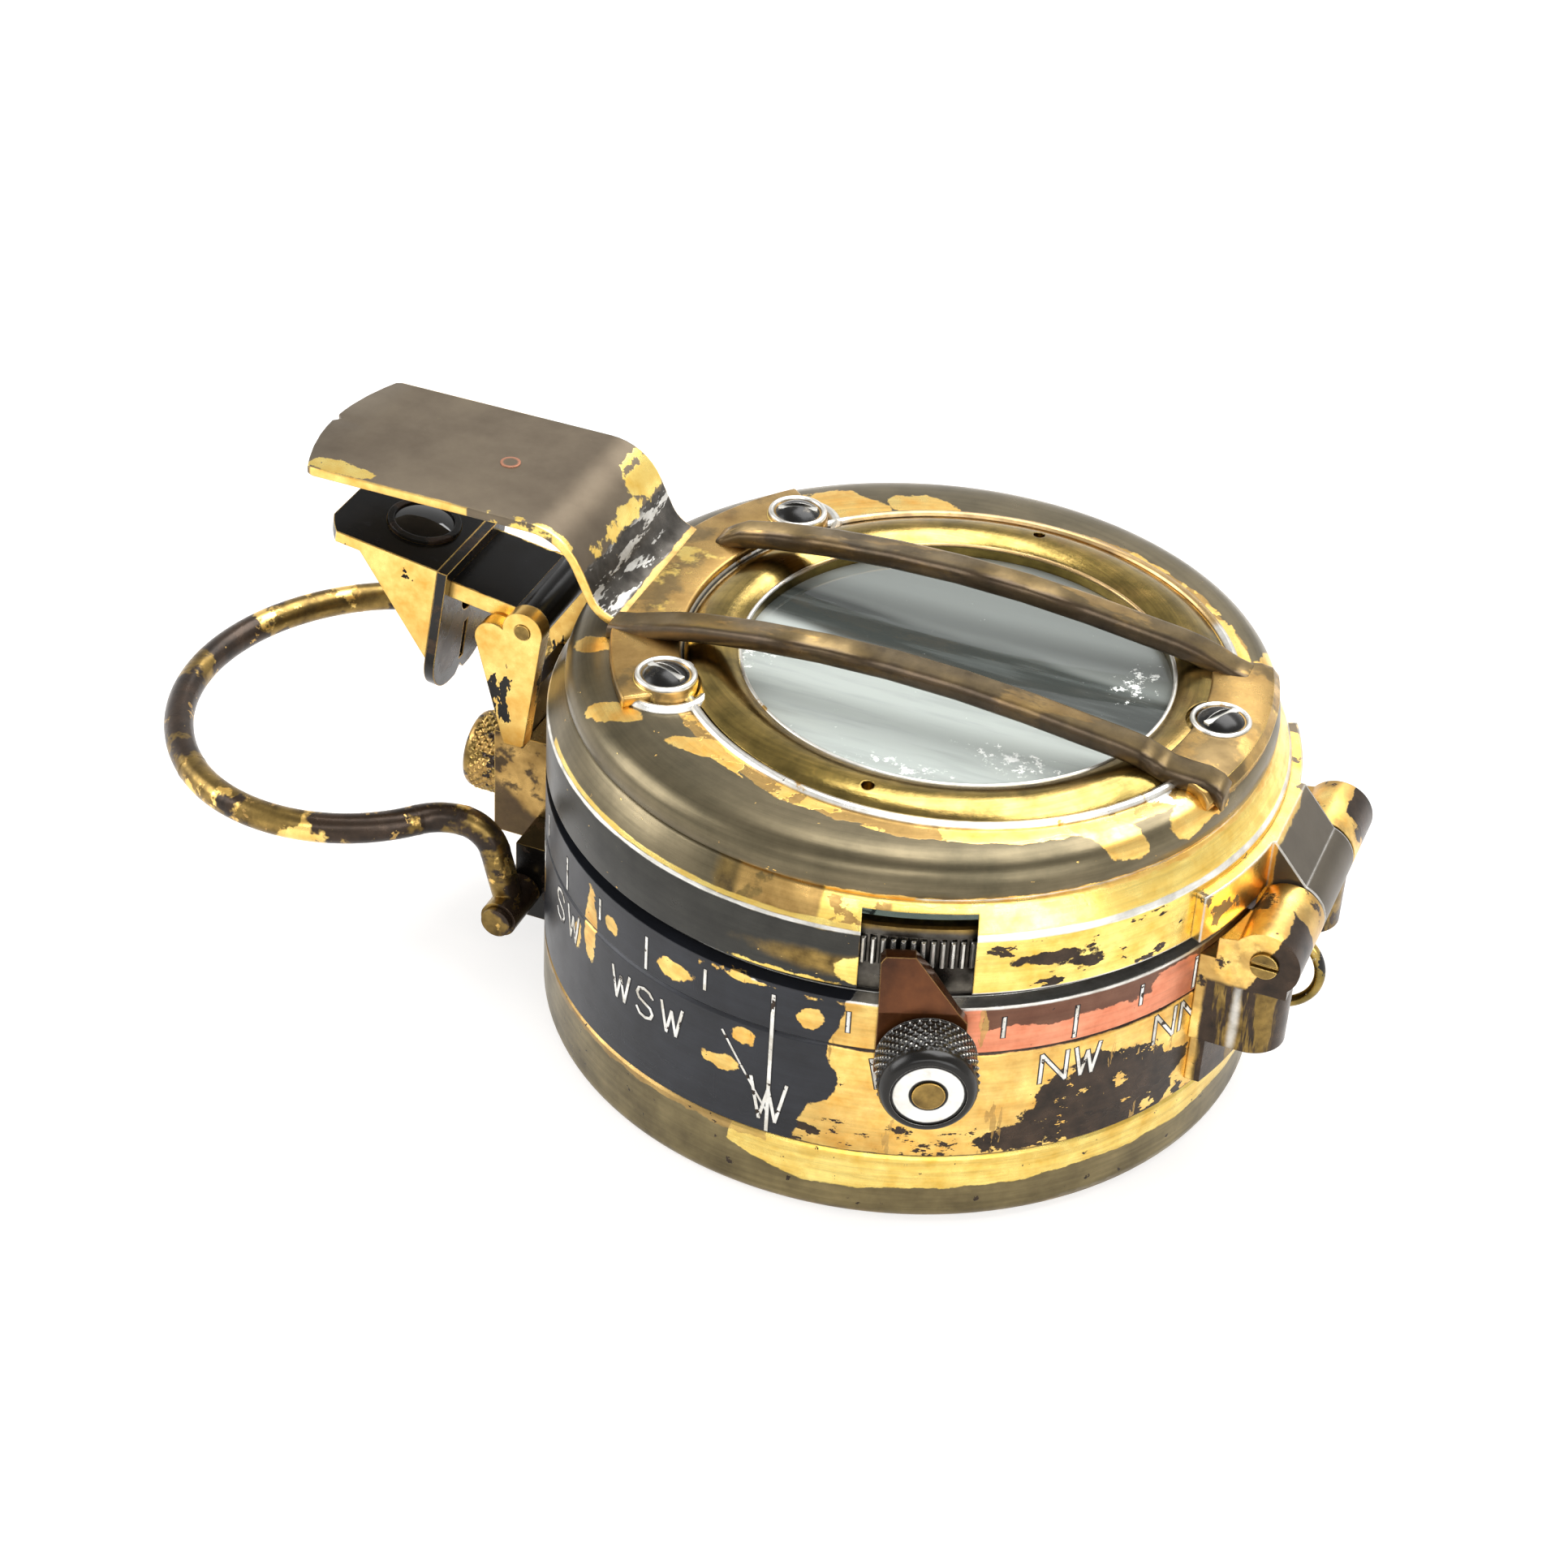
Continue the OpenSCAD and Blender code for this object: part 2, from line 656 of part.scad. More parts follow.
module lid_leaf() {
    y0 = knuckle_split_near + hinge_gap / 2;
    y1 = knuckle_split_far - hinge_gap / 2;
    color("#54493a") difference() {
        union() {
            // curved plate on the skirt
            intersection() {
                tube(case_r + leaf_t, case_r + seat, lid_z + 0.3, crease_z - 0.7);
                translate([0, 0, lid_z - 1]) linear_extrude(skirt_h + 2)
                    sector(2 * case_r, -leaf_half_angle, leaf_half_angle);
            }
            // knuckle and its web
            difference() {
                union() {
                    translate([hinge_x, 0, hinge_z]) pin_y(knuckle_r, y0, y1);
                    across(y0, y1) polygon([
                        [case_r - 2, lid_z + 0.3], [case_r - 2, crease_z - 0.7], [case_r + leaf_t, crease_z - 0.7],
                        [hinge_x + 1, hinge_z + knuckle_r - 0.2], [hinge_x, hinge_z],
                        [hinge_x - 2, hinge_z + 0.9]]);
                }
                translate([0, 0, lid_z - 1]) cylinder(r = case_r + seat, h = 10);
                case_room(pass);
            }
        }
        translate([hinge_x, 0, hinge_z]) pin_y(hinge_pin_d / 2 + fit, y0 - 1, y1 + 1);
    }
}

module lid_glass() {
    color("#a9bcc0", 0.4) at_window() translate([0, 0, lid_glass_z])
        cylinder(r = window_r + 1.1 - seat, h = lid_glass_t);
}

module window_ring() {
    bead = window_bead;
    z = lid_glass_z + lid_glass_t;
    color("#c09a3e") difference() {
        at_window() rotate_extrude() union() {
            // threaded skirt down to the glass, flange, and a rounded bead on top
            translate([window_r, z]) square([1.1 - seat, seat_z - z]);
            translate([window_r, seat_z - 0.7]) square([bead, 0.7 - eps]);
            intersection() {
                translate([window_r + bead / 2, seat_z + bead_rise - bead * 0.92]) circle(bead * 0.92);
                translate([window_r, seat_z - 0.4]) square([bead, 3]);
            }
        }
        // relieved for the guard's bosses and its end plate
        for (p = guard_screw_points()) translate([p[0], p[1], guard_z - seat])
            cylinder(r = boss_r + seat, h = 5);
        for (p = guard_screw_points()) translate([p[0], p[1], ceiling_z])
            cylinder(d = guard_shank_d + 2 * seat, h = 9);
        translate([plate_x0 - pass, -plate_half_w - pass, guard_z - seat]) cube([9, 2 * (plate_half_w + pass), 5]);
        // spanner holes
        for (s = [-1, 1]) at_window() translate([0, s * (window_r + bead * 0.62), seat_z - 0.2])
            cylinder(d = 1.1, h = 3);
    }
}

// Height of a bar's top along the arch
function arch_z(x) = bar_top - bar_arch_r + sqrt(pow(bar_arch_r, 2) - pow(x - bar_peak_x, 2));

// Side view of one arched bar: it steps over the window ring, with its feet on the band and the end plate
module bar_profile() {
    left = window_shift - window_ring_r + 2;
    right = window_shift + window_ring_r - 4.3;
    centre = [bar_peak_x, bar_top - bar_arch_r];
    top = guard_z + guard_t;
    intersection() {
        difference() {
            translate(centre) circle(bar_arch_r, $fn = 720);
            translate(centre) circle(bar_arch_r - bar_t, $fn = 720);
        }
        polygon([[left, bar_clear_z], [left, bar_top + 1], [right, bar_top + 1], [right, bar_clear_z]]);
    }
    polygon([[left - 4.2, guard_z], [left - 1.4, guard_z], [left - 0.7, guard_z + 0.6],
        [left + 0.1, arch_z(left) - bar_t], [left + 0.1, arch_z(left)], [left - 1, arch_z(left) - 0.6],
        [left - 2.4, top + 0.5], [left - 4.2, top]]);
    polygon([[right - 0.1, bar_clear_z], [right + 1.5, bar_clear_z], [right + 3, guard_z + 0.5],
        [right + 3.4, guard_z], [right + 5.7, guard_z], [right + 5.7, top], [right + 4.6, top],
        [right + 3.2, top + 0.35], [right + 1.6, arch_z(right) - 0.35], [right - 0.1, arch_z(right)]]);
}

module guard_frame() {
    root_x = window_shift - band_out_r + 2;
    // the tongue leaves the band, turns up, leans out over the prism and lies level
    lean = 64;
    inner_r = 2.4;
    rise = tongue_rise - guard_t - 2 * inner_r * (1 - cos(lean));
    slope = rise / sin(lean);
    start = 1;
    bend_x = start + 2 * inner_r * sin(lean) + slope * cos(lean);
    level = tongue_reach + root_x - bend_x;
    color("#6d604c") difference() {
        union() {
            // curved band round the window
            translate([0, 0, guard_z]) linear_extrude(guard_t) intersection() {
                at_window() difference() {
                    circle(band_out_r);
                    circle(band_in_r);
                }
                at_window() sector(3 * band_out_r, 180 - guard_half_angle, 180 + guard_half_angle);
            }
            for (s = [-1, 1]) translate([guard_screw_left[0], s * guard_screw_left[1], guard_z])
                cylinder(r1 = boss_r, r2 = boss_r - 0.5, h = guard_t + boss_h);
            // end plate by the hinge
            translate([plate_x0, -plate_half_w, guard_z]) cube([plate_x1 - plate_x0, 2 * plate_half_w, guard_t]);
            for (s = [-1, 1]) across(s * bar_y - bar_w / 2, s * bar_y + bar_w / 2) bar_profile();
            // tongue
            intersection() {
                across(-tongue_w / 2, tongue_w / 2) translate([root_x, guard_z + guard_t / 2])
                    mirror([1, 0]) sheet([[start, lean], [slope, -lean], [level, 0]], guard_t, inner_r);
                translate([0, 0, guard_z - 1]) linear_extrude(20) tongue_outline();
            }
        }
        for (p = guard_screw_points()) translate([p[0], p[1], guard_z - 1])
            cylinder(d = guard_shank_d + 2 * seat, h = 4);
        translate([rivet_x, 0, tongue_top - guard_t - 1]) cylinder(r = rivet_r + seat, h = 3);
    }
}
rivet_x = -(case_r + 7);
rivet_r = 0.9;

// Plan of the tongue: a bowed outer end with a small sighting notch
module tongue_outline() {
    half = tongue_w / 2;
    bow_r = (pow(half, 2) + pow(tongue_bulge, 2)) / (2 * tongue_bulge);
    difference() {
        union() {
            translate([-tongue_reach + tongue_bulge, -half]) square([tongue_reach, tongue_w]);
            intersection() {
                translate([-tongue_reach + bow_r, 0]) circle(bow_r);
                translate([-tongue_reach - 1, -half]) square([tongue_bulge + 2, tongue_w]);
            }
        }
        translate([-tongue_reach - 0.4, 0.3]) rotate(45) square(1.4, center = true);
    }
}

module guard_screws() {
    heads = [guard_t + boss_h, guard_t + boss_h, guard_t];
    color("#3a3129") for (i = [0 : 2]) {
        p = guard_screw_points()[i];
        translate([p[0], p[1], guard_z + heads[i]]) difference() {
            union() {
                intersection() {
                    translate([0, 0, -2.1]) sphere(r = 2.9);
                    cylinder(d = guard_screw_d, h = 2);
                }
                translate([0, 0, -heads[i] - 2.2]) cylinder(d = guard_shank_d, h = heads[i] + 2.2 + eps);
            }
            rotate([0, 0, [20, -15, 60][i]]) translate([-3, -0.3, 0.35]) cube([6, 0.6, 2]);
        }
    }
}

module tongue_rivet() {
    color("#7a6a50") translate([rivet_x, 0, tongue_top - guard_t])
        cylinder(r = rivet_r, h = guard_t + 0.08);
}

module prism_bracket() {
    color("#8a6c2c") difference() {
        translate([bracket_x0, -bracket_half_w, bracket_z0])
            cube([1 - case_r - bracket_x0, 2 * bracket_half_w, bracket_z1 - bracket_z0]);
        case_room();
        // channel of the slide, open at the top
        translate([slide_x0 - fit, -slide_half_w - fit, bracket_z0 + 1.2])
            cube([slide_x1 - slide_x0 + 2 * fit, 2 * (slide_half_w + fit), bracket_z1]);
        // slot for the focusing screw
        translate([bracket_x0 - 1, -slot_w / 2, focus_z]) cube([1.5 + bracket_plate_t, slot_w, slide_travel]);
        for (z = [focus_z, focus_z + slide_travel]) translate([0, 0, z])
            pin_x(slot_w / 2, bracket_x0 - 1, bracket_x0 + 0.5 + bracket_plate_t);
        // blind tapped holes of the screws that come through the case wall
        for (z = bracket_screw_z()) translate([0, 0, z])
            pin_x(bracket_screw_d / 2 + seat, -case_r - bracket_screw_depth - 0.2, -case_r + 2);
    }
}

module bracket_screws() {
    head_x = -case_ir + 0.05;
    color("#4a3f2c") for (z = bracket_screw_z()) translate([0, 0, z]) difference() {
        union() {
            pin_x(bracket_screw_d / 2 + 0.5, head_x, head_x + 0.6);
            pin_x(bracket_screw_d / 2, -case_r - bracket_screw_depth, head_x + eps);
        }
        translate([head_x + 0.35, -2, -0.15]) cube([1, 4, 0.3]);
    }
}

module focus_slide() {
    foot = bracket_z0 + 1.6;
    cross_z = bracket_z1 + 0.5;
    ear_tip = prism_z - 10;
    color("#6a5a35") difference() {
        union() {
            translate([slide_x0, -slide_half_w, foot])
                cube([slide_x1 - slide_x0, 2 * slide_half_w, cross_z - foot + 1]);
            translate([slide_x0, -ear_out, cross_z]) cube([slide_x1 - slide_x0, 2 * ear_out, 3.6]);
            for (s = [0, 1]) mirror([0, s, 0]) across(ear_in, ear_out) translate([prism_x, prism_z]) ear_outline();
        }
        translate([prism_x, 0, prism_z]) pin_y(prism_pin_d / 2 + seat, -10, 10);
        translate([0, 0, focus_z]) pin_x(focus_shank_d / 2 + fit, slide_x0 - 1, slide_x1 + 1);
    }
}

// Heart-shaped ear, with the hinge axis at the origin
module ear_outline() {
    foot = -prism_up + 0.2 - (rim_z - bracket_z1);
    circle(1.9);
    translate([-2.9, -1.6]) circle(1.7);
    polygon([[1.9, 0], [-1, -1], [-4.5, -2.1], [slide_x0 - prism_x, foot], [slide_x1 - prism_x + 0.5, foot]]);
}

module focus_screw() {
    color("#8f7a3c") translate([0, 0, focus_z]) {
        translate([focus_x1, 0, 0]) rotate([0, -90, 0])
            linear_extrude(focus_x1 - focus_x0 - 0.6) knurled(focus_d / 2, 0.3, knurl_count);
        pin_x(focus_d / 2 - 0.6, focus_x0, focus_x0 + 0.6 + eps);
        pin_x(focus_shank_d / 2, focus_x1 - eps, slide_x1);
    }
}

module prism_hinge_pin() {
    color("#a08a4a") translate([prism_x, 0, prism_z]) pin_y(prism_pin_d / 2, -ear_out - 0.1, ear_out + 0.1);
}

module prism_arm() {
    color("#25211c") at_prism() difference() {
        union() {
            pin_y(prism_knuckle_r, -arm_half_w, arm_half_w);
            across(-arm_half_w, arm_half_w) polygon([
                [eye_u, -0.7], [-0.6, -0.7], [-0.3, prism_knuckle_r - 0.05], [-1.6, 0.9], [eye_u, 0.9]]);
        }
        pin_y(prism_pin_d / 2 + fit, -9, 9);
    }
}

// Triangle of the housing, shrunk by a wall on the two glass faces and on the long side
module prism_triangle(gap) {
    top = lens_face_w - gap;
    right = housing_u1 - gap;
    slope = prism_h / prism_len;
    back = gap * sqrt(1 + slope * slope);
    polygon([[housing_u0 + (back + gap) / slope, top], [right, top],
        [right, top - (right - housing_u0 - (back + gap) / slope) * slope]]);
}

module prism_housing() {
    half = prism_w / 2;
    color("#2b2620") at_prism() difference() {
        union() {
            across(-half, half) prism_triangle(0);
            // lens plate with its bowed outer end
            translate([0, 0, lens_face_w - 1]) linear_extrude(1) intersection() {
                translate([housing_u1 - 13, 0]) circle(14.6);
                translate([housing_u0 - 3, -half]) square([housing_u1 - housing_u0 + 3, prism_w]);
                translate([housing_u1 - prism_len + 6.2, 0]) circle(9);
            }
        }
        // room for the prism, open towards the eye plate
        across(-half + sheet_t, half - sheet_t) prism_triangle(sheet_t);
        translate([housing_u1 - 2, -half + sheet_t, lens_face_w - 1 - prism_h + 3])
            cube([3, prism_w - 2 * sheet_t, prism_h - 2.8]);
        translate([lens_u(), 0, lens_face_w - 2]) cylinder(d = lens_d + 2 * seat, h = 4);
    }
}
function lens_u() = (housing_u0 + housing_u1) / 2 - 0.1;

module eye_plate() {
    half = prism_w / 2;
    corner = 4.4;
    color("#2d2822") at_prism() difference() {
        along(housing_u1 + seat, eye_u) difference() {
            union() {
                translate([-half, eye_foot_w + corner]) square([prism_w, lens_face_w - eye_foot_w - corner]);
                translate([-half + corner, eye_foot_w]) square([prism_w - 2 * corner, corner + eps]);
                for (s = [-1, 1]) translate([s * (half - corner), eye_foot_w + corner]) circle(corner);
            }
            // eye hole, sighting slot and notch
            translate([0, -3.2]) circle(1.6);
            translate([-0.4, eye_foot_w + 1.6]) square([0.8, 4.2]);
            translate([0, eye_foot_w]) rotate(45) square(1.1, center = true);
        }
    }
}

module prism_glass() {
    half = prism_w / 2 - sheet_t - seat;
    color("#a8c4c0", 0.5) at_prism() across(-half, half) prism_triangle(sheet_t + 0.05);
}

module prism_lens() {
    color("#a8c4c0", 0.5) at_prism() translate([lens_u(), 0, lens_face_w - sheet_t - 0.03]) {
        cylinder(d = lens_d - 1.2 - 2 * seat, h = sheet_t + 0.2);
        translate([0, 0, sheet_t + 0.2 - 0.01]) intersection() {
            translate([0, 0, -9.4]) sphere(r = 9.8);
            cylinder(d = lens_d - 1.2 - 2 * seat, h = 1);
        }
    }
}

module lens_ring() {
    color("#39332b") at_prism() translate([lens_u(), 0, 0])
        tube(lens_d / 2, lens_d / 2 - 0.6, lens_face_w - sheet_t, lens_face_w + 0.35);
}

module ring_lug() {
    color("#3a3222") difference() {
        union() {
            across(-lug_half_w, lug_half_w) {
                translate([ring_x, ring_pivot_z]) circle(1.9);
                translate([ring_x, ring_pivot_z - 1.9]) square([4, 3.3]);
                translate([ring_x - 1.1, ring_pivot_z - 3.2]) square([5.1, 3]);
            }
            // raised cheeks beside the bracket
            for (s = [0, 1]) mirror([0, s, 0]) across(bracket_half_w + 0.1, lug_half_w)
                translate([ring_x - 0.9, ring_pivot_z]) square([4.9, 4.6]);
            for (y = [-6, 6]) translate([0, y, ring_pivot_z + 2.6])
                pin_x(lug_spigot_r, -case_r - 0.2, -case_ir + 0.9);
        }
        difference() {
            case_room();
            for (y = [-6, 6]) translate([0, y, ring_pivot_z + 2.6])
                pin_x(lug_spigot_r, -case_r - 1, -case_ir + 1);
        }
        translate([ring_x, 0, ring_pivot_z]) pin_y(ring_pin_d / 2 + seat, -20, 20);
    }
}

// The plan of one half of the ring's wire, from its outer end to the start of the arm
function ring_shape() = let (
    c1 = [ring_x - ring_len + ring_r + ring_end_r, 0],
    a1 = 50,
    c2 = c1 + (ring_end_r - ring_side_r) * [-cos(a1), -sin(a1)],
    reach = ring_side_r + ring_return_r,
    b = acos((c2[1] + ring_return_r + ring_arm_y) / reach),
    c3 = c2 + reach * [sin(b), -cos(b)]
) [c1, a1, c2, b, c3];

// Bend of the wire, which stops just short of the beads at its ends
module wire_bend(r, a0, a1) {
    short = bead_gap / r * 180 / PI;
    rotate([0, 0, a0 + short]) rotate_extrude(angle = a1 - a0 - 2 * short)
        translate([r, 0]) circle(ring_r, $fn = 48);
}

module wire_arc(c, r, a0, a1) {
    translate([c[0], c[1], ring_z]) wire_bend(r, a0, a1);
}

// Soldered joint between two stretches of the wire, along the wire's own direction
module wire_bead(x, y, z, tilt, turn) {
    translate([x, y, z]) rotate([0, tilt, turn])
        cylinder(r = ring_r + 0.02, h = 4 * bead_gap, center = true, $fn = 48);
}
bead_gap = 0.1;

module thumb_ring() {
    s = ring_shape();
    // the arm bends down and runs straight to the pivot
    bend_c = [s[4][0], ring_z - ring_bend_r];
    d = [ring_x - bend_c[0], ring_pivot_z - bend_c[1]];
    phi = atan2(d[1], d[0]) + acos(ring_bend_r / norm(d));
    tangent = bend_c + ring_bend_r * [cos(phi), sin(phi)];
    run = norm([ring_x, ring_pivot_z] - tangent);
    y_out = ring_arm_y + ring_knuckle_len / 2;
    y_in = ring_arm_y - ring_knuckle_len / 2;
    end = s[0] - ring_end_r * [cos(s[1]), sin(s[1])];
    turn = s[4] + ring_return_r * [-sin(s[3]), cos(s[3])];
    color("#5c4a26") difference() {
        union() {
            wire_arc(s[0], ring_end_r, 180 - s[1], 180 + s[1]);
            for (m = [0, 1]) mirror([0, m, 0]) {
                wire_arc(s[2], ring_side_r, 180 + s[1], 270 + s[3]);
                wire_arc(s[4], ring_return_r, 90, 90 + s[3]);
                translate([bend_c[0], -ring_arm_y, bend_c[1]]) rotate([90, 0, 0])
                    wire_bend(ring_bend_r, phi, 90);
                translate([tangent[0], -ring_arm_y, tangent[1]]) rotate([0, 180 - phi, 0])
                    translate([0, 0, bead_gap]) cylinder(r = ring_r, h = run - bead_gap, $fn = 48);
                translate([ring_x, 0, ring_pivot_z]) pin_y(ring_knuckle_r, -y_out, -y_in);
                wire_bead(end[0], end[1], ring_z, 90, 90 + s[1]);
                wire_bead(turn[0], turn[1], ring_z, 90, s[3]);
                wire_bead(s[4][0], -ring_arm_y, ring_z, 90, 0);
                wire_bead(tangent[0], -ring_arm_y, tangent[1], 180 - phi, 0);
            }
        }
        translate([ring_x, 0, ring_pivot_z]) pin_y(ring_pin_d / 2 + fit, -30, 30);
    }
}

module ring_pins() {
    y_out = ring_arm_y + ring_knuckle_len / 2;
    color("#8c7a44") for (s = [0, 1]) mirror([0, s, 0]) translate([ring_x, 0, ring_pivot_z]) {
        pin_y(ring_pin_d / 2, lug_half_w - 3, y_out + 0.1);
        pin_y(ring_pin_d / 2 + 0.5, y_out + 0.1 - eps, y_out + 0.6);
    }
}

case_body();
base_cap();
capsule_bowl();
capsule_glass();
capsule_ring();
pivot_post();
compass_card();
card_jewel();
card_magnets();
bezel_ring();
bezel_glass();
bezel_glass_ring();
clamp_lever();
clamp_screw();
clamp_inlay();
clamp_pin();
hinge_lug();
hinge_pin();
lanyard_loop();
lid_shell();
lid_leaf();
lid_glass();
window_ring();
guard_frame();
guard_screws();
tongue_rivet();
prism_bracket();
bracket_screws();
focus_slide();
focus_screw();
prism_hinge_pin();
prism_arm();
prism_housing();
eye_plate();
prism_glass();
prism_lens();
lens_ring();
ring_lug();
thumb_ring();
ring_pins();
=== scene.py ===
from math import atan2, cos, hypot, pi, radians, sin, tan

import bmesh
import bpy
from mathutils import Matrix, Vector


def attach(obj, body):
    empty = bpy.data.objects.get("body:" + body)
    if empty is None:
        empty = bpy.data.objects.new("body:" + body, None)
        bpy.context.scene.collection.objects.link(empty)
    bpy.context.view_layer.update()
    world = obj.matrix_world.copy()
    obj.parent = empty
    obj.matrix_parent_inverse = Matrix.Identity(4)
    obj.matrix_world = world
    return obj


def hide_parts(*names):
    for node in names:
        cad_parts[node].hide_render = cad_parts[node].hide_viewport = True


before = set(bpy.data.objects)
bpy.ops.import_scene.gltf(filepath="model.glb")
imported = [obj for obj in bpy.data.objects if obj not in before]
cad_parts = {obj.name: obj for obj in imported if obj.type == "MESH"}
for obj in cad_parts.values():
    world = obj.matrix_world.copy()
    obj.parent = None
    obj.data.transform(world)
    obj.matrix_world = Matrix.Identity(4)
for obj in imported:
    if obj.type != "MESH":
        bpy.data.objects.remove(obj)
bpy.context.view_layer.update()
scene = bpy.context.scene
scene.view_settings.view_transform = "Standard"
mm = 0.001


def addObject(name, data):
    made = bpy.data.objects.new(name, data)
    scene.collection.objects.link(made)
    return made


def addMesh(name, bm):
    mesh = bpy.data.meshes.new(name)
    bm.to_mesh(mesh)
    bm.free()
    return addObject(name, mesh)


# ---- camera, light and floor ----

cameraSettings = dict(
    azimuth=20.199, elevation=35.477, roll=3.429,   # degrees
    distance=302.65, right=-11.25, up=4.935, aimHeight=15,   # mm
    lens=78.53,
)


def addCamera(s):
    azimuth, elevation, roll = (radians(s[k]) for k in ("azimuth", "elevation", "roll"))
    back = Vector((sin(azimuth) * cos(elevation), -cos(azimuth) * cos(elevation),
                   sin(elevation)))
    right = Vector((cos(azimuth), sin(azimuth), 0))
    up = back.cross(right)
    place = back * s["distance"] + right * s["right"] + up * s["up"] + Vector((0, 0, s["aimHeight"]))
    sideways = right * cos(roll) + up * sin(roll)
    upwards = up * cos(roll) - right * sin(roll)
    camera = addObject("camera", bpy.data.cameras.new("camera"))
    camera.matrix_world = Matrix.Translation(place * mm) @ Matrix((sideways, upwards, back)).transposed().to_4x4()
    camera.data.lens = s["lens"]
    camera.data.sensor_width = 36
    camera.data.clip_start = 0.01
    scene.camera = camera


addCamera(cameraSettings)

lampSettings = [
    # name, place in m, width and height in m, power in W
    ("topSoftbox", (0.10, 0.28, 0.62), (0.55, 0.55), 6.5),
    ("leftSoftbox", (-0.62, -0.18, 0.36), (0.40, 0.40), 2.6),
    ("rightSoftbox", (0.55, -0.40, 0.30), (0.35, 0.35), 1.6),
    ("frontSoftbox", (0.20, -0.62, 0.56), (0.75, 0.22), 2.0),
]


def addLamps(rows):
    for name, place, size, power in rows:
        lamp = addObject(name, bpy.data.lights.new(name, "AREA"))
        lamp.data.shape = "RECTANGLE"
        lamp.data.size, lamp.data.size_y = size
        lamp.data.energy = power
        lamp.location = place
        lamp.rotation_euler = (Vector((0, 0, 0.02)) - Vector(place)).to_track_quat("-Z", "Y").to_euler()


addLamps(lampSettings)


class Nodes:   # short ways to add nodes to a material or to the world
    def __init__(self, owner):
        owner.use_nodes = True
        self.tree = owner.node_tree
        self.tree.nodes.clear()

    def add(self, kind, inputs, **settings):
        made = self.tree.nodes.new("ShaderNode" + kind)
        for key, value in settings.items():
            setattr(made, key, value)
        for key, value in inputs.items():
            if isinstance(value, bpy.types.NodeSocket):
                self.tree.links.new(value, made.inputs[key])
            else:
                made.inputs[key].default_value = value
        return made

    def calc(self, operation, a, b=0.0, clamp=False):
        return self.add("Math", {0: a, 1: b}, operation=operation, use_clamp=clamp).outputs[0]

    def plus(self, a, b):
        return self.calc("ADD", a, b)

    def less(self, a, b):
        return self.calc("SUBTRACT", a, b)

    def times(self, a, b):
        return self.calc("MULTIPLY", a, b)

    def vector(self, operation, a, b=(0, 0, 0), result=0):
        return self.add("VectorMath", {0: a, 1: b}, operation=operation).outputs[result]

    def length(self, a):
        return self.vector("LENGTH", a, result="Value")

    def flat(self, a):   # the length across the Z axis
        return self.length(self.vector("MULTIPLY", a, (1, 1, 0)))

    def parts(self, a):
        return self.add("SeparateXYZ", {0: a}).outputs

    def noise(self, place, scale, detail, rough=0.5, seed=None):
        inputs = {"Vector": place, "Scale": scale, "Detail": detail, "Roughness": rough}
        if seed is None:
            return self.add("TexNoise", inputs).outputs[0]
        return self.add("TexNoise", {**inputs, "W": seed}, noise_dimensions="4D").outputs[0]

    def ramp(self, value, low, high, first=0, last=1, kind="LINEAR"):
        return self.add("MapRange", {"Value": value, "From Min": low, "From Max": high, "To Min": first,
                                     "To Max": last}, interpolation_type=kind).outputs["Result"]

    def smooth(self, *values):
        return self.ramp(*values, kind="SMOOTHSTEP")

    def mix(self, kind, share, a, b):
        first, second, result = {"RGBA": (6, 7, 2), "FLOAT": (2, 3, 0)}[kind]
        return self.add("Mix", {0: share, first: a, second: b}, data_type=kind).outputs[result]

    def seenDirectly(self):   # 1 for the camera, reflections and views through glass
        path = self.add("LightPath", {}).outputs
        seen = self.calc("MAXIMUM", path["Is Camera Ray"], path["Is Glossy Ray"])
        return self.calc("MAXIMUM", seen, path["Is Transmission Ray"])

    def measure(self, seed=0):   # the place on the piece, in mm
        place = self.add("TexCoord", {}).outputs["Object"]
        self.point, self.seed = self.vector("MULTIPLY", place, (1000, 1000, 1000)), seed


def colour(text):   # "#rrggbb" as it looks on a screen
    parts = [int(text[i:i + 2], 16) / 255 for i in (1, 3, 5)]
    return [p / 12.92 if p < 0.04045 else ((p + 0.055) / 1.055) ** 2.4 for p in parts] + [1]


worldSettings = dict(fill=0.42, horizon=1.0, ceiling=0.42, ceilingFrom=0.25, ceilingTo=0.85)


def addWorld(s):
    scene.world = bpy.data.worlds.new("studio")
    n = Nodes(scene.world)
    height = n.parts(n.add("TexCoord", {}).outputs["Generated"])["Z"]
    ceiling = n.ramp(height, s["ceilingFrom"], s["ceilingTo"], s["horizon"], s["ceiling"])
    strength = n.mix("FLOAT", n.seenDirectly(), s["fill"], ceiling)
    shader = n.add("Background", {"Color": (1, 1, 1, 1), "Strength": strength})
    n.add("OutputWorld", {"Surface": shader.outputs[0]})


addWorld(worldSettings)

floorSettings = dict(
    size=4.0, drop=0.00005, paper="#f4f3f1", shadowShare=(0.46, 0.445, 0.43),
    # glow beside the object and farther off, in m from its middle
    glow=0.66, farGlow=1.05, glowFrom=0.10, glowTo=0.40,
)


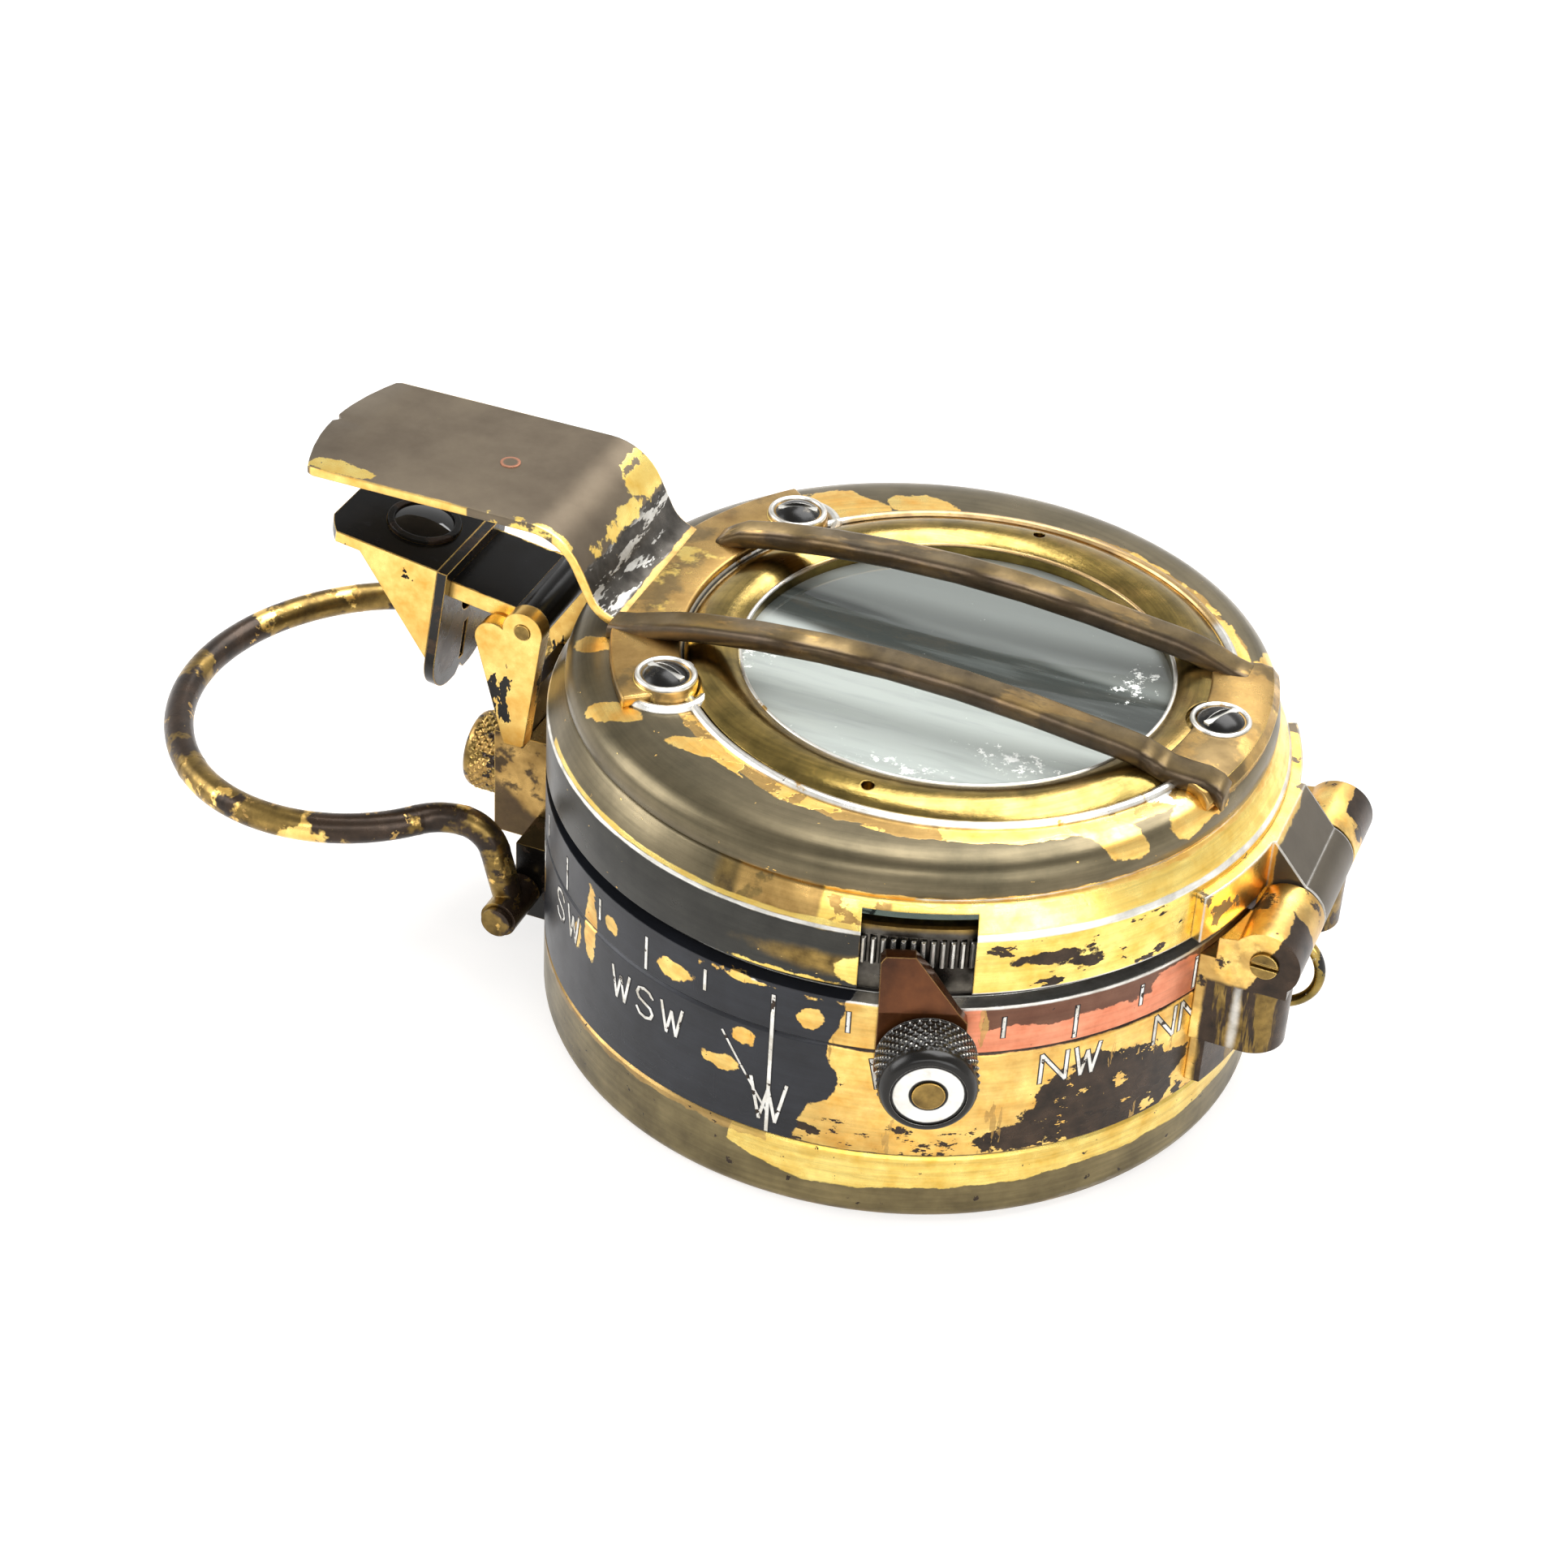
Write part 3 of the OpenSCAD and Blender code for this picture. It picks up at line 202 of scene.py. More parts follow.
def addFloor(s):
    bm = bmesh.new()
    bmesh.ops.create_grid(bm, x_segments=1, y_segments=1, size=s["size"] / 2)
    bmesh.ops.translate(bm, verts=bm.verts, vec=(0, 0, -s["drop"]))
    floor = addMesh("floor", bm)
    material = bpy.data.materials.new("floorPaper")
    n = Nodes(material)
    paper = n.add("BsdfDiffuse", {"Color": colour(s["paper"])})
    shade = n.add("BsdfDiffuse", {"Color": (*s["shadowShare"], 1)})
    away = n.length(n.add("TexCoord", {}).outputs["Object"])
    strength = n.smooth(away, s["glowFrom"], s["glowTo"], s["glow"], s["farGlow"])
    glow = n.add("Emission", {"Color": (1, 1, 1, 1), "Strength": strength})
    seen = n.add("AddShader", {0: shade.outputs[0], 1: glow.outputs[0]})
    both = n.add("MixShader", {0: n.seenDirectly(), 1: paper.outputs[0], 2: seen.outputs[0]})
    n.add("OutputMaterial", {"Surface": both.outputs[0]})
    floor.data.materials.append(material)


addFloor(floorSettings)
print("stage, lamps and camera are in place")

# ---- finishes ----
# A finish is a base metal with layers over it.

finishes = {
    # light and dark colour, grain, metal, roughness and its spread
    "wornBrass": ("#ffde86", "#e3ab50", 0.5, 1, 0.3, 0.16),
    "yellowBrass": ("#ffe78a", "#e2b752", 0.4, 1, 0.28, 0.14),
    "goldBrass": ("#cda866", "#8f7040", 0.4, 1, 0.3, 0.18),
    "oldBrass": ("#9b8048", "#55452a", 0.6, 1, 0.34, 0.2),
    "ringBrass": ("#b79c58", "#6f6034", 0.3, 1, 0.15, 0.08),
    "copper": ("#e89a78", "#cf7c5a", 0.5, 0.8, 0.38, 0.1),
    "blueLacquer": ("#282a30", "#1c1d21", 0.25, 0.2, 0.32, 0.1),
    "greyLacquer": ("#35342f", "#262521", 0.3, 0.3, 0.3, 0.1),
    "blackLacquer": ("#17140f", "#0a0908", 0.4, 0.1, 0.24, 0.12),
    "taupe": ("#776b59", "#594e40", 0.12, 0.75, 0.43, 0.08),
    "domeOlive": ("#786d55", "#544d3b", 0.16, 0.8, 0.3, 0.1),
    "olive": ("#887a55", "#5f543a", 0.25, 0.7, 0.36, 0.1),
    "barOlive": ("#86714a", "#54452b", 0.35, 0.8, 0.34, 0.14),
    "darkBrown": ("#45362a", "#211a14", 0.5, 0.5, 0.3, 0.14),
    "redBrown": ("#6b3f22", "#28160c", 0.22, 0.6, 0.16, 0.08),
    "steel": ("#5d5953", "#35322e", 0.6, 1, 0.3, 0.12),
    "brightSteel": ("#f2f0ea", "#b8b5ac", 0.5, 0.9, 0.3, 0.12),
    "whitePaint": ("#f4f3ef", "#d6d3cb", 0.5, 0, 0.55, 0.1),
    "blackInk": ("#16161a", "#0c0c0e", 0.5, 0, 0.5, 0.1),
    "pearl": ("#efece4", "#c9cdcb", 0.35, 0.1, 0.3, 0.12),
    "dust": ("#dedad0", "#b9b3a6", 0.8, 0, 0.8, 0.1),
}
grain = dict(
    detail=6, rough=0.6, tint=(0.32, 0.68), edgeDetail=7, edgeRough=0.62, fleckDetail=5, fleckRough=0.62,
    scratchScale=1.6, scratchHeight=0.35, dentScale=0.16, dentHeight=4, depth=0.02,   # mm
    latheScale=2.2, latheDrift=(0.10, 0.07), latheHeight=1.5, latheShade=(0.36, 0.6),
)
surfaces = {}

# Rules for where a layer lies: each gives a number in mm that is above zero inside.


def join(operation, rules):
    def build(n):
        total = rules[0](n)
        for rule in rules[1:]:
            total = n.calc(operation, total, rule(n))
        return total
    return build


def anyOf(*rules):
    return join("MAXIMUM", rules)


def allOf(*rules):
    return join("MINIMUM", rules)


def outside(rule):
    return lambda n: n.times(rule(n), -1)


def side(direction, offset):
    return lambda n: n.less(n.vector("DOT_PRODUCT", n.point, Vector(direction).normalized(), "Value"), offset)


def above(z):
    return side((0, 0, 1), z)


def below(z):
    return side((0, 0, -1), -z)


def right(x):
    return side((1, 0, 0), x)


def left(x):
    return side((-1, 0, 0), -x)


def spot(centre, radii):
    return lambda n: n.times(n.less(1, n.length(n.vector("DIVIDE", n.vector("SUBTRACT", n.point, centre), radii))),
                             min(radii))


def spots(*rows):
    return anyOf(*[spot(*row) for row in rows])


def band(axis, middle, half):
    return lambda n: n.less(half, n.calc("ABSOLUTE", n.less(n.parts(n.point)[axis], middle)))


def disc(centre, radius):
    return lambda n: n.less(radius, n.flat(n.vector("SUBTRACT", n.point, (*centre, 0))))


def cone(radial, vertical, offset):   # inside the line radial * radius + vertical * height = offset
    return lambda n: n.less(offset, n.plus(n.times(n.flat(n.point), radial), n.times(n.parts(n.point)["Z"], vertical)))


def tube(centre, direction, radius):   # farther than radius from an axis
    return lambda n: n.less(n.length(n.vector("CROSS_PRODUCT", n.vector("SUBTRACT", n.point, centre),
                                              Vector(direction).normalized())), radius)


def flecks(scale, least, gain, stretch=(1, 1, 1)):
    return lambda n: n.times(n.less(n.noise(
        n.vector("MULTIPLY", n.point, stretch), scale, grain["fleckDetail"], grain["fleckRough"],
        n.seed + scale * 7), least), gain)


def edges(reach):   # where the surface bends
    return lambda n: n.less(n.times(n.less(1, n.vector(
        "DOT_PRODUCT", n.rounded, n.add("NewGeometry", {}).outputs["Normal"], "Value")), reach), 0.35)


def onWall(angle, z, radius=32):
    return (radius * cos(radians(angle)), radius * sin(radians(angle)), z)


def over(finish, where, ragged, size=0.35, soft=0.06, cover=1, thick=0.3):
    # one layer: its border strays by ragged and fades over soft, and its waves are about 1 / size long, in mm
    return finish, where, ragged, size, soft, cover, thick


def finishNodes(n, finish, seed):
    light, dark, scale, metal, rough, spread = finishes[finish]
    noise = n.noise(n.point, scale, grain["detail"], grain["rough"], seed)
    tint = n.mix("RGBA", n.ramp(noise, *grain["tint"]), colour(light), colour(dark))
    return tint, metal, n.plus(n.times(n.less(noise, 0.5), spread * 2), rough)


def latheRings(n):   # left by the lathe and by rubbing
    x, y, z = n.parts(n.point)
    slow = n.plus(n.times(x, grain["latheDrift"][0]), n.times(y, grain["latheDrift"][1]))
    along = n.add("CombineXYZ", {0: n.times(n.flat(n.point), grain["latheScale"]),
                                 1: n.times(z, grain["latheScale"]), 2: slow})
    return n.noise(along.outputs[0], 0.9, 6, 0.65)


def makeFinish(name, base, layers=(), seed=1, soften=0.16, scratches=1, dents=0.5, shine=0.35, turned=0):
    material = bpy.data.materials.new(name)
    n = Nodes(material)
    n.measure(seed)
    n.rounded = n.add("Bevel", {"Radius": soften * mm}, samples=4).outputs[0]
    tint, metal, rough = finishNodes(n, base, seed)
    height = 0
    for number, (finish, where, ragged, size, soft, cover, thick) in enumerate(layers):
        border = n.noise(n.point, size, grain["edgeDetail"], grain["edgeRough"], seed * 3 + number * 5.3)
        value = n.plus(where(n), n.times(n.less(border, 0.5), ragged * 2))
        mask = n.smooth(value, -soft, soft, 0, cover)
        overTint, overMetal, overRough = finishNodes(n, finish, seed + number + 2)
        tint = n.mix("RGBA", mask, tint, overTint)
        metal = n.mix("FLOAT", mask, metal, overMetal)
        rough = n.mix("FLOAT", mask, rough, overRough)
        height = n.plus(height, n.times(mask, thick))
    fine = n.noise(n.vector("MULTIPLY", n.point, (1, 1, 4)), grain["scratchScale"], 8, 0.7)
    wide = n.noise(n.point, grain["dentScale"], 2)
    height = n.plus(height, n.plus(n.times(fine, scratches * grain["scratchHeight"]),
                                   n.times(wide, dents * grain["dentHeight"])))
    if turned:
        rings = latheRings(n)
        shade = n.ramp(rings, *grain["latheShade"], 1 - turned, 1.05)
        tint = n.add("VectorMath", {0: tint, "Scale": shade}, operation="SCALE").outputs[0]
        height = n.plus(height, n.times(rings, turned * grain["latheHeight"]))
    bump = n.add("Bump", {"Height": height, "Distance": grain["depth"] * mm, "Strength": 1,
                          "Normal": n.rounded})
    shader = n.add("BsdfPrincipled", {
        "Base Color": tint, "Metallic": metal, "Specular IOR Level": shine,
        "Roughness": n.calc("MAXIMUM", rough, 0.06, clamp=True), "Normal": bump.outputs[0]})
    n.add("OutputMaterial", {"Surface": shader.outputs[0]})
    surfaces[name] = material


wallSpots = [
    # worn spots in the lacquer: angle, height, half width, half height
    (-107, 20, 1.9, 0.8), (-94.6, 16.6, 1, 0.8), (-98.4, 12.9, 1.7, 0.8), (-126.5, 17.6, 1.3, 3.6),
    (-120.5, 20.2, 1.1, 1.1), (-130.5, 15.5, 0.7, 2), (-84.6, 20.2, 1.1, 1), (-90.5, 22.4, 3.2, 0.3),
    (104, 15, 2, 1.2), (136, 11, 1.4, 2.2), (160, 18, 2.4, 1), (-152, 12.5, 1.2, 2.6),
]


def wallSpot(angle, z, wide, high):
    along = abs(sin(radians(angle)))
    return spot(onWall(angle, z), (max(wide * along, 0.6), max(wide * (1 - along) * 1.4, 0.9), high))


clampAxis = onWall(-67.5, 19.3), onWall(-67.5, 0)
makeFinish("caseWall", "wornBrass", [
    over("goldBrass", flecks(0.12, 0.53, 10), 1, soft=1.2, cover=0.5),
    over("copper", allOf(above(17.8), side((1, -0.2, 0), 15.5)), 0.1, soft=0.1),
    over("darkBrown", allOf(above(20.6), side((1, 0.1, 0), 13.5),
         outside(spot(onWall(-27, 20.5), (3, 3, 2)))), 1.6, 0.28, cover=0.85),
    over("darkBrown", allOf(spot(onWall(-38, 10.6), (8, 7.4, 5.2)),
         outside(flecks(0.45, 0.61, 20, (1, 1, 2)))), 2.4, 0.35),
    over("darkBrown", spot(onWall(-52, 8.6), (4, 3, 1.3)), 1.4, 0.6),
    over("darkBrown", spot(onWall(-27, 11.2), (2.5, 3.5, 1.6)), 1.4, 0.6),
    over("darkBrown", allOf(below(10.2), flecks(0.5, 0.56, 22, (1, 1, 2.2))), 0.5),
    over("darkBrown", flecks(1.1, 0.69, 18), 0.3),
    over("goldBrass", flecks(0.55, 0.64, 18, (1, 1, 0.22)), 0.2, cover=0.7),
    over("darkBrown", anyOf(band("Z", 17.9, 0.16), band("Z", 6.9, 0.3)), 0.2),
    # painted highlight: a near-white line along the wall's top edge on the right side
    over("brightSteel", allOf(above(22.55), right(-2)), 0.15, soft=0.1),
    over("blueLacquer", allOf(anyOf(side((-1, 0, 0.27), -0.1), spot(onWall(-82.6, 14.2), (1.6, 2, 2.6))),
         *[outside(wallSpot(*row)) for row in wallSpots]), 1.3, 0.32, thick=0.6),
], seed=3, turned=0.12)
makeFinish("baseBand", "yellowBrass", [
    over("olive", anyOf(side((-1, 0, 0.25), 4.6), side((-0.3, 0, -1), -3.9), side((0.05, 0, -1), -2.9)), 0.9, 0.2),
    over("goldBrass", allOf(left(0), above(6.2)), 0.8, 0.5, cover=0.7),
    over("darkBrown", flecks(0.9, 0.66, 16), 0.3),
    over("oldBrass", below(0.6), 0.5, soft=0.4),
], seed=5, turned=0.22)
makeFinish("lidMetal", "domeOlive", [
    # sloping band: dark at the left, rubbed towards the front, bare at the right
    over("oldBrass", allOf(below(32.4), side((1, 0.1, 0), -9)), 1.2, 0.2, soft=0.6, cover=0.8),
    over("goldBrass", allOf(below(32.4), right(-4), flecks(0.25, 0.42, 12)), 0.4, 0.3, soft=0.4),
    over("yellowBrass", allOf(below(32.42), anyOf(right(8.5), allOf(right(3), flecks(0.3, 0.5, 14)))),
         0.22, 0.5, soft=0.2),
    over("wornBrass", allOf(below(32.6), above(31.9), right(3)), 0.4, 0.7),
    over("yellowBrass", allOf(band("Z", 29.96, 0.17), right(-26)), 0.14, 0.5, cover=0.8),
    over("greyLacquer", allOf(below(29.6), left(6.8), side((0, -1, 0), -6)), 0.5, 0.3, soft=0.2),
    over("greyLacquer", allOf(below(29.6), side((-1, 0, 0.6), 8.6), side((0, 1, 0), 0)), 2.4, 0.3),
    over("oldBrass", spot(onWall(-82, 26.2), (6, 4, 0.9)), 0.7, soft=0.5),
    over("yellowBrass", spots((onWall(-77.2, 25.8), (2.4, 3, 1.4)), (onWall(-90, 24.3), (4, 2, 0.25))), 0.5, 0.8),
    over("darkBrown", allOf(below(29.3), right(14), anyOf(flecks(0.32, 0.6, 16, (1, 1, 2.2)),
         spot(onWall(-50, 27.2), (3, 3, 0.6)), spot(onWall(-45, 26.4), (2, 2, 0.5)))), 0.8, 0.7),
    # bare metal beside the window ring and the guard, with a ragged border
    over("goldBrass", allOf(disc((3.3, -0.6), 25.2), above(34.3)), 1.3, 0.22),
    over("wornBrass", allOf(disc((3.2, -0.8), 25.2), above(34.3), flecks(0.16, 0.47, 14)), 1.3, 0.22),
    over("wornBrass", spots(((-26, -11, 35.5), (2, 1.1, 1.5)), ((-20.6, -19.6, 35.4), (3, 1.1, 1.5)),
         ((-10.8, -21.3, 35.6), (3.6, 1.1, 1.5)), ((-14.5, 19.6, 35.6), (4.2, 2.4, 1.5)),
         ((-8, 22.2, 35.6), (3.4, 2.2, 1.5)), ((22, -17.6, 35), (4.2, 1.8, 1.8)), ((27.4, -8.5, 35), (2, 7, 1.6)),
         ((27.4, 8, 35), (1.6, 8, 1.4))), 0.8, 0.5),
    over("brightSteel", allOf(spot((22.2, -11, 35.7), (4, 1.7, 1.2)), flecks(0.7, 0.44, 12)), 0.5, 0.8),
    over("wornBrass", flecks(0.8, 0.69, 16, (1, 1, 2)), 0.3),
    # painted highlights: near-white lines on the rim's edge, and on the right also the skirt's lower edge and the
    # groove's edge
    over("brightSteel", anyOf(band("Z", 29.62, 0.14), allOf(right(10), anyOf(below(24.35), band("Z", 29.7, 0.26),
         band("Z", 32.34, 0.1)))), 0.12, soft=0.06),
    over("blackLacquer", allOf(cone(1, 0, 31.5), cone(0.842, 0.539, 42.3), cone(0.459, 0.888, 41.9)), 0.05),
], seed=7, dents=0.3, turned=0.16)
makeFinish("tongueMetal", "taupe", [
    over("goldBrass", right(-26), 0.8, soft=0.5),
    # painted reflection: a silvery strip with near-white flecks across the concave bend
    over("steel", allOf(right(-28.1), left(-25.2)), 0.5),
    over("brightSteel", allOf(right(-27.9), left(-25.4), flecks(0.6, 0.52, 16, (1, 0.25, 1))), 0.4, soft=0.2,
         cover=0.85),
    over("yellowBrass", allOf(spots(((-51.6, -7.5, 44), (3.4, 1, 1.2)), ((-29.6, 6.4, 41.8), (1.7, 3.4, 2.6)),
         ((-28.7, 0.5, 40.4), (0.7, 7.2, 1.1)), ((-32.5, -8.2, 43), (5, 0.5, 1))),
         outside(spot((-30.3, 6.6, 42.6), (0.5, 2.2, 0.5)))), 0.9, 0.6),
    over("wornBrass", allOf(outside(band("Y", 0, 8.38)), anyOf(left(-39), right(-31))), 0.2, soft=0.1),
    over("domeOlive", flecks(1.3, 0.7, 14), 0.3),
], seed=11)
makeFinish("bandMetal", "goldBrass", [
    over("barOlive", flecks(0.2, 0.56, 12), 1, soft=0.7, cover=0.9),
    over("yellowBrass", flecks(0.26, 0.62, 14), 0.6, soft=0.5, cover=0.8),
    over("yellowBrass", edges(4), 0.25, soft=0.25),
], seed=12)
makeFinish("barMetal", "barOlive", [
    over("goldBrass", flecks(0.3, 0.55, 14, (0.4, 1, 1)), 0.6, soft=0.5, cover=0.7),
    over("darkBrown", anyOf(side((0, -1, 0), 9.3), allOf(side((0, -1, 0), -7.4), side((0, 1, 0), 2))),
         0.35, 0.5, soft=0.3, cover=0.8),
], seed=14)
makeFinish("rimSilver", "brightSteel", [
    over("goldBrass", flecks(0.25, 0.62, 14), 0.5, soft=0.3),
    over("darkBrown", flecks(0.4, 0.68, 14), 0.4, soft=0.2),
    over("goldBrass", allOf(side((-0.3, 1, 0), 8), right(-14)), 1, soft=0.8, cover=0.9),
], seed=15)
makeFinish("ringMetal", "ringBrass", [
    over("goldBrass", flecks(0.2, 0.58, 10), 0.8, soft=1, cover=0.6),
], seed=13, scratches=1.5, turned=0.3)
makeFinish("wireMetal", "oldBrass", [
    over("wornBrass", flecks(0.22, 0.55, 16), 0.8, soft=0.3),
    over("darkBrown", flecks(0.13, 0.488, 20), 0.8, soft=0.4),
    over("goldBrass", flecks(0.6, 0.62, 20), 0.3, soft=0.2),
], seed=17)
makeFinish("darkLug", "darkBrown", [
    over("blackLacquer", flecks(0.2, 0.47, 12), 0.6),
    over("oldBrass", edges(5), 0.25, soft=0.25),
], seed=19)
makeFinish("bracketMetal", "goldBrass", [
    over("wornBrass", side((0.5, 0.2, 1), 4), 1.4, 0.25),
    over("darkBrown", anyOf(side((-1, 0, -1.2), 14), flecks(0.2, 0.55, 18), above(20.2)), 1.6, 0.25,
         soft=0.5, cover=0.85),
    over("wornBrass", edges(5), 0.25, soft=0.25),
], seed=23)
makeFinish("earMetal", "wornBrass", [
    over("blackLacquer", anyOf(flecks(0.3, 0.57, 18, (1, 1, 0.4)), side((0.35, 0, -1), -29.6)), 0.7, 0.5),
    over("darkBrown", band("Y", 0, 4.9), 0.4),
    over("oldBrass", edges(5), 0.2, soft=0.2),
], seed=29)
makeFinish("prismBox", "blackLacquer", [
    over("wornBrass", outside(band("Y", 0, 5.85)), 0.05),
    over("blackLacquer", flecks(0.55, 0.64, 12), 0.3),
    over("wornBrass", edges(5.5), 0.2, soft=0.2),
], seed=31, shine=0.15)
makeFinish("eyeMetal", "darkBrown", [
    over("blackLacquer", flecks(0.25, 0.5, 12), 0.6, soft=0.4),
    over("wornBrass", edges(6), 0.2, soft=0.2),
], seed=37)
makeFinish("lensRim", "darkBrown", [
    over("blackLacquer", flecks(0.25, 0.42, 12), 0.6, soft=0.4),
], seed=39, shine=0.2)
makeFinish("armMetal", "blackLacquer", [
    over("wornBrass", edges(6), 0.3, soft=0.2),
    over("wornBrass", outside(band("Y", 0, 4.8)), 0.35, 0.6),
], seed=41, shine=0.15)
makeFinish("leverMetal", "redBrown", [
    over("goldBrass", edges(4), 0.3, soft=0.3, cover=0.6),
], seed=43)
makeFinish("knobBlack", "blackLacquer", [
    over("brightSteel", tube(*clampAxis, 4.13), 0.06, soft=0.02),
    over("brightSteel", edges(5), 0.2, soft=0.25, cover=0.7),
], seed=47, soften=0.05)
makeFinish("knobOlive", "oldBrass", [
    over("goldBrass", flecks(0.4, 0.5, 16), 0.6),
    over("darkBrown", flecks(0.6, 0.58, 18), 0.5),
    over("yellowBrass", tube((0, 0, 12.9), (1, 0, 0), 3.74), 0.06, soft=0.02),
], seed=53, soften=0.05)
makeFinish("hingeGold", "wornBrass", [
    over("goldBrass", flecks(0.2, 0.47, 12), 0.8, soft=0.8, cover=0.8),
    over("darkBrown", allOf(below(19.5), right(30.5)), 0.4, soft=0.2),
    over("oldBrass", allOf(below(19.3), right(30.5), flecks(0.5, 0.5, 16, (1, 1, 0.12))), 0.3, soft=0.4),
    # painted highlights: a near-white vertical streak down each side column
    over("brightSteel", allOf(below(19.3), spots(((33.3, -11.6, 16.4), (0.35, 0.8, 4)),
         ((33.3, 11.6, 16.4), (0.35, 0.8, 4)))), 0.25, soft=0.25, cover=0.85),
    # painted shade: the knuckle's ends darker on their outer, lower side
    over("darkBrown", allOf(side((1, 0, -0.4), 24.3), outside(band("Y", 0, 8)), above(19.3)), 0.8, 0.6),
    over("darkBrown", flecks(0.25, 0.6, 16), 0.6, soft=0.3),
], seed=59)
makeFinish("leafMetal", "taupe", [
    over("wornBrass", allOf(disc((0, 0), 33.4), flecks(0.3, 0.42, 10)), 0.5),
    over("greyLacquer", right(33.2), 0.5, soft=0.4, cover=0.6),
    # painted highlight: near-white along the leaf's edges
    over("brightSteel", edges(14), 0.2, soft=0.25),
], seed=61, soften=0.3)
makeFinish("screwSteel", "steel", [
    over("blackLacquer", flecks(0.4, 0.45, 12), 0.5, soft=0.4),
    over("brightSteel", edges(6), 0.15, soft=0.2),
], seed=67, soften=0.1)
makeFinish("pinBrass", "oldBrass", [
    over("wornBrass", edges(5), 0.3, soft=0.25),
], seed=71)
makeFinish("rivetBrass", "taupe", [
    over("copper", outside(disc((-39, 0), 0.66)), 0.1, soft=0.12, cover=0.45),
], seed=73)
makeFinish("bezelMetal", "steel", [
    over("blackLacquer", outside(disc((0, 0), 30.28)), 0.02, soft=0.02),
    over("brightSteel", outside(disc((0, 0), 30.45)), 0.02, soft=0.05),
    over("oldBrass", above(29), 0.4, soft=0.3),
], seed=79, soften=0.06)
makeFinish("innerBrass", "goldBrass", [
    over("oldBrass", flecks(0.2, 0.5, 10), 0.6, soft=0.8),
], seed=83)
makeFinish("inlayWhite", "whitePaint", [
    over("dust", flecks(0.7, 0.6, 8), 0.4, soft=0.6, cover=0.6),
    over("blackLacquer", anyOf(tube(*clampAxis, 2.78), outside(tube(*clampAxis, 1.58))), 0.12, soft=0.06),
], seed=89)
makeFinish("markWhite", "whitePaint", [
    over("dust", flecks(0.5, 0.52, 10), 0.4, soft=0.5),
    over("darkBrown", flecks(1.1, 0.58, 12), 0.2, soft=0.15),
], seed=97)
makeFinish("loopBrass", "ringBrass", [
    over("blackLacquer", flecks(0.35, 0.52, 16), 0.5),
    # painted highlights: near-white flecks over the loop
    over("brightSteel", flecks(0.4, 0.62, 16), 0.4),
], seed=101)
makeFinish("magnetSteel", "steel", seed=103)
makeFinish("jewelRuby", "ringBrass", [
    over("copper", disc((0, 0), 1), 0.1),
], seed=107)
makeFinish("cardPearl", "pearl", seed=109, scratches=0.3, dents=0.1)
makeFinish("cardInk", "blackInk", seed=113, scratches=0.3, dents=0.1)

windowHazeAndReflection = dict(
    # dusty film on the lid's glass, lighter on the near side and darker on the far side, with streaks that run along
    # the bars; the dark streak is a painted reflection
    across=(0.10, 0.99, 0), near="#c3c9c4", far="#8b908c", reflectionStreak="#484c49", streakAt=(2.2, 3.3),
    farFrom=4, farFade=2.5, streakFade=(-0.5, 1.4), sway=3.2, thin="#8f9592", thinFade=(0.45, 0.7), thinShare=0.3,
    clear=0.35, speck="#f0f2ee", speckFade=(0.665, 0.7), cloudFade=(-0.6, 1.6), cloudShare=0.17,
    clouds=(((-13.5, -4.5, 34.8), (3.2, 4.8, 2)), ((12.5, -11, 34.8), (5.5, 2.6, 2)),
            ((17.5, 5, 34.8), (2.6, 4.2, 2)), ((3, -15.5, 34.8), (6, 1.5, 2))),
)


def windowFilm(n, s=windowHazeAndReflection):
    bent = n.noise(n.vector("MULTIPLY", n.point, (0.4, 1, 1)), 0.09, 3)
    across = n.plus(side(s["across"], 0)(n), n.times(n.less(bent, 0.5), s["sway"] * 2))
    film = n.mix("RGBA", n.smooth(across, s["farFrom"] - s["farFade"], s["farFrom"] + s["farFade"]),
                 colour(s["near"]), colour(s["far"]))
    middle, half = s["streakAt"]
    # painted reflection: a dark band in the film's colour
    reflectionStreak = n.less(half, n.calc("ABSOLUTE", n.less(across, middle)))
    film = n.mix("RGBA", n.smooth(reflectionStreak, *s["streakFade"]), film, colour(s["reflectionStreak"]))
    thin = n.noise(n.vector("MULTIPLY", n.point, (0.12, 1, 1)), 0.8, 4)
    film = n.mix("RGBA", n.times(n.smooth(thin, *s["thinFade"]), s["thinShare"]), film, colour(s["thin"]))
    fine = n.noise(n.point, 0.9, 8, 0.8)
    dense = n.ramp(spots(*s["clouds"])(n), *s["cloudFade"], 0, s["cloudShare"])
    speck = n.smooth(n.plus(fine, dense), *s["speckFade"])
    film = n.mix("RGBA", speck, film, colour(s["speck"]))
    return film, n.times(n.less(1, speck), s["clear"])


def makeGlass(name, tint="#ffffff", clear=1, film=None):
    material = bpy.data.materials.new(name)
    n = Nodes(material)
    n.measure()
    noise = n.noise(n.point, 0.25, 6)
    bump = n.add("Bump", {"Height": noise, "Distance": 0.004 * mm, "Strength": 0.4})
    base, through = film(n) if film else (colour(tint), clear)
    glass = n.add("BsdfPrincipled", {
        "IOR": 1.5, "Roughness": n.ramp(noise, 0.4, 0.7, 0.01, 0.06), "Normal": bump.outputs[0],
        "Base Color": base, "Transmission Weight": through})
    shadow = n.add("BsdfTransparent", {"Color": colour("#d8dcda")})
    path = n.add("LightPath", {}).outputs["Is Shadow Ray"]
    both = n.add("MixShader", {0: path, 1: glass.outputs[0], 2: shadow.outputs[0]})
    n.add("OutputMaterial", {"Surface": both.outputs[0]})
    surfaces[name] = material


makeGlass("shadedEyeLens", "#1f1d1a", 0.35)   # it looks into the dark prism box, and its dark tint is painted shade for the tongue's shadow over it
makeGlass("windowGlass", film=windowFilm)
makeGlass("clearGlass", "#fbfdfc")
makeGlass("prismGlass", "#e4efe9")
print("finishes are made:", len(surfaces))

# ---- CAD nodes that keep their own shape ----

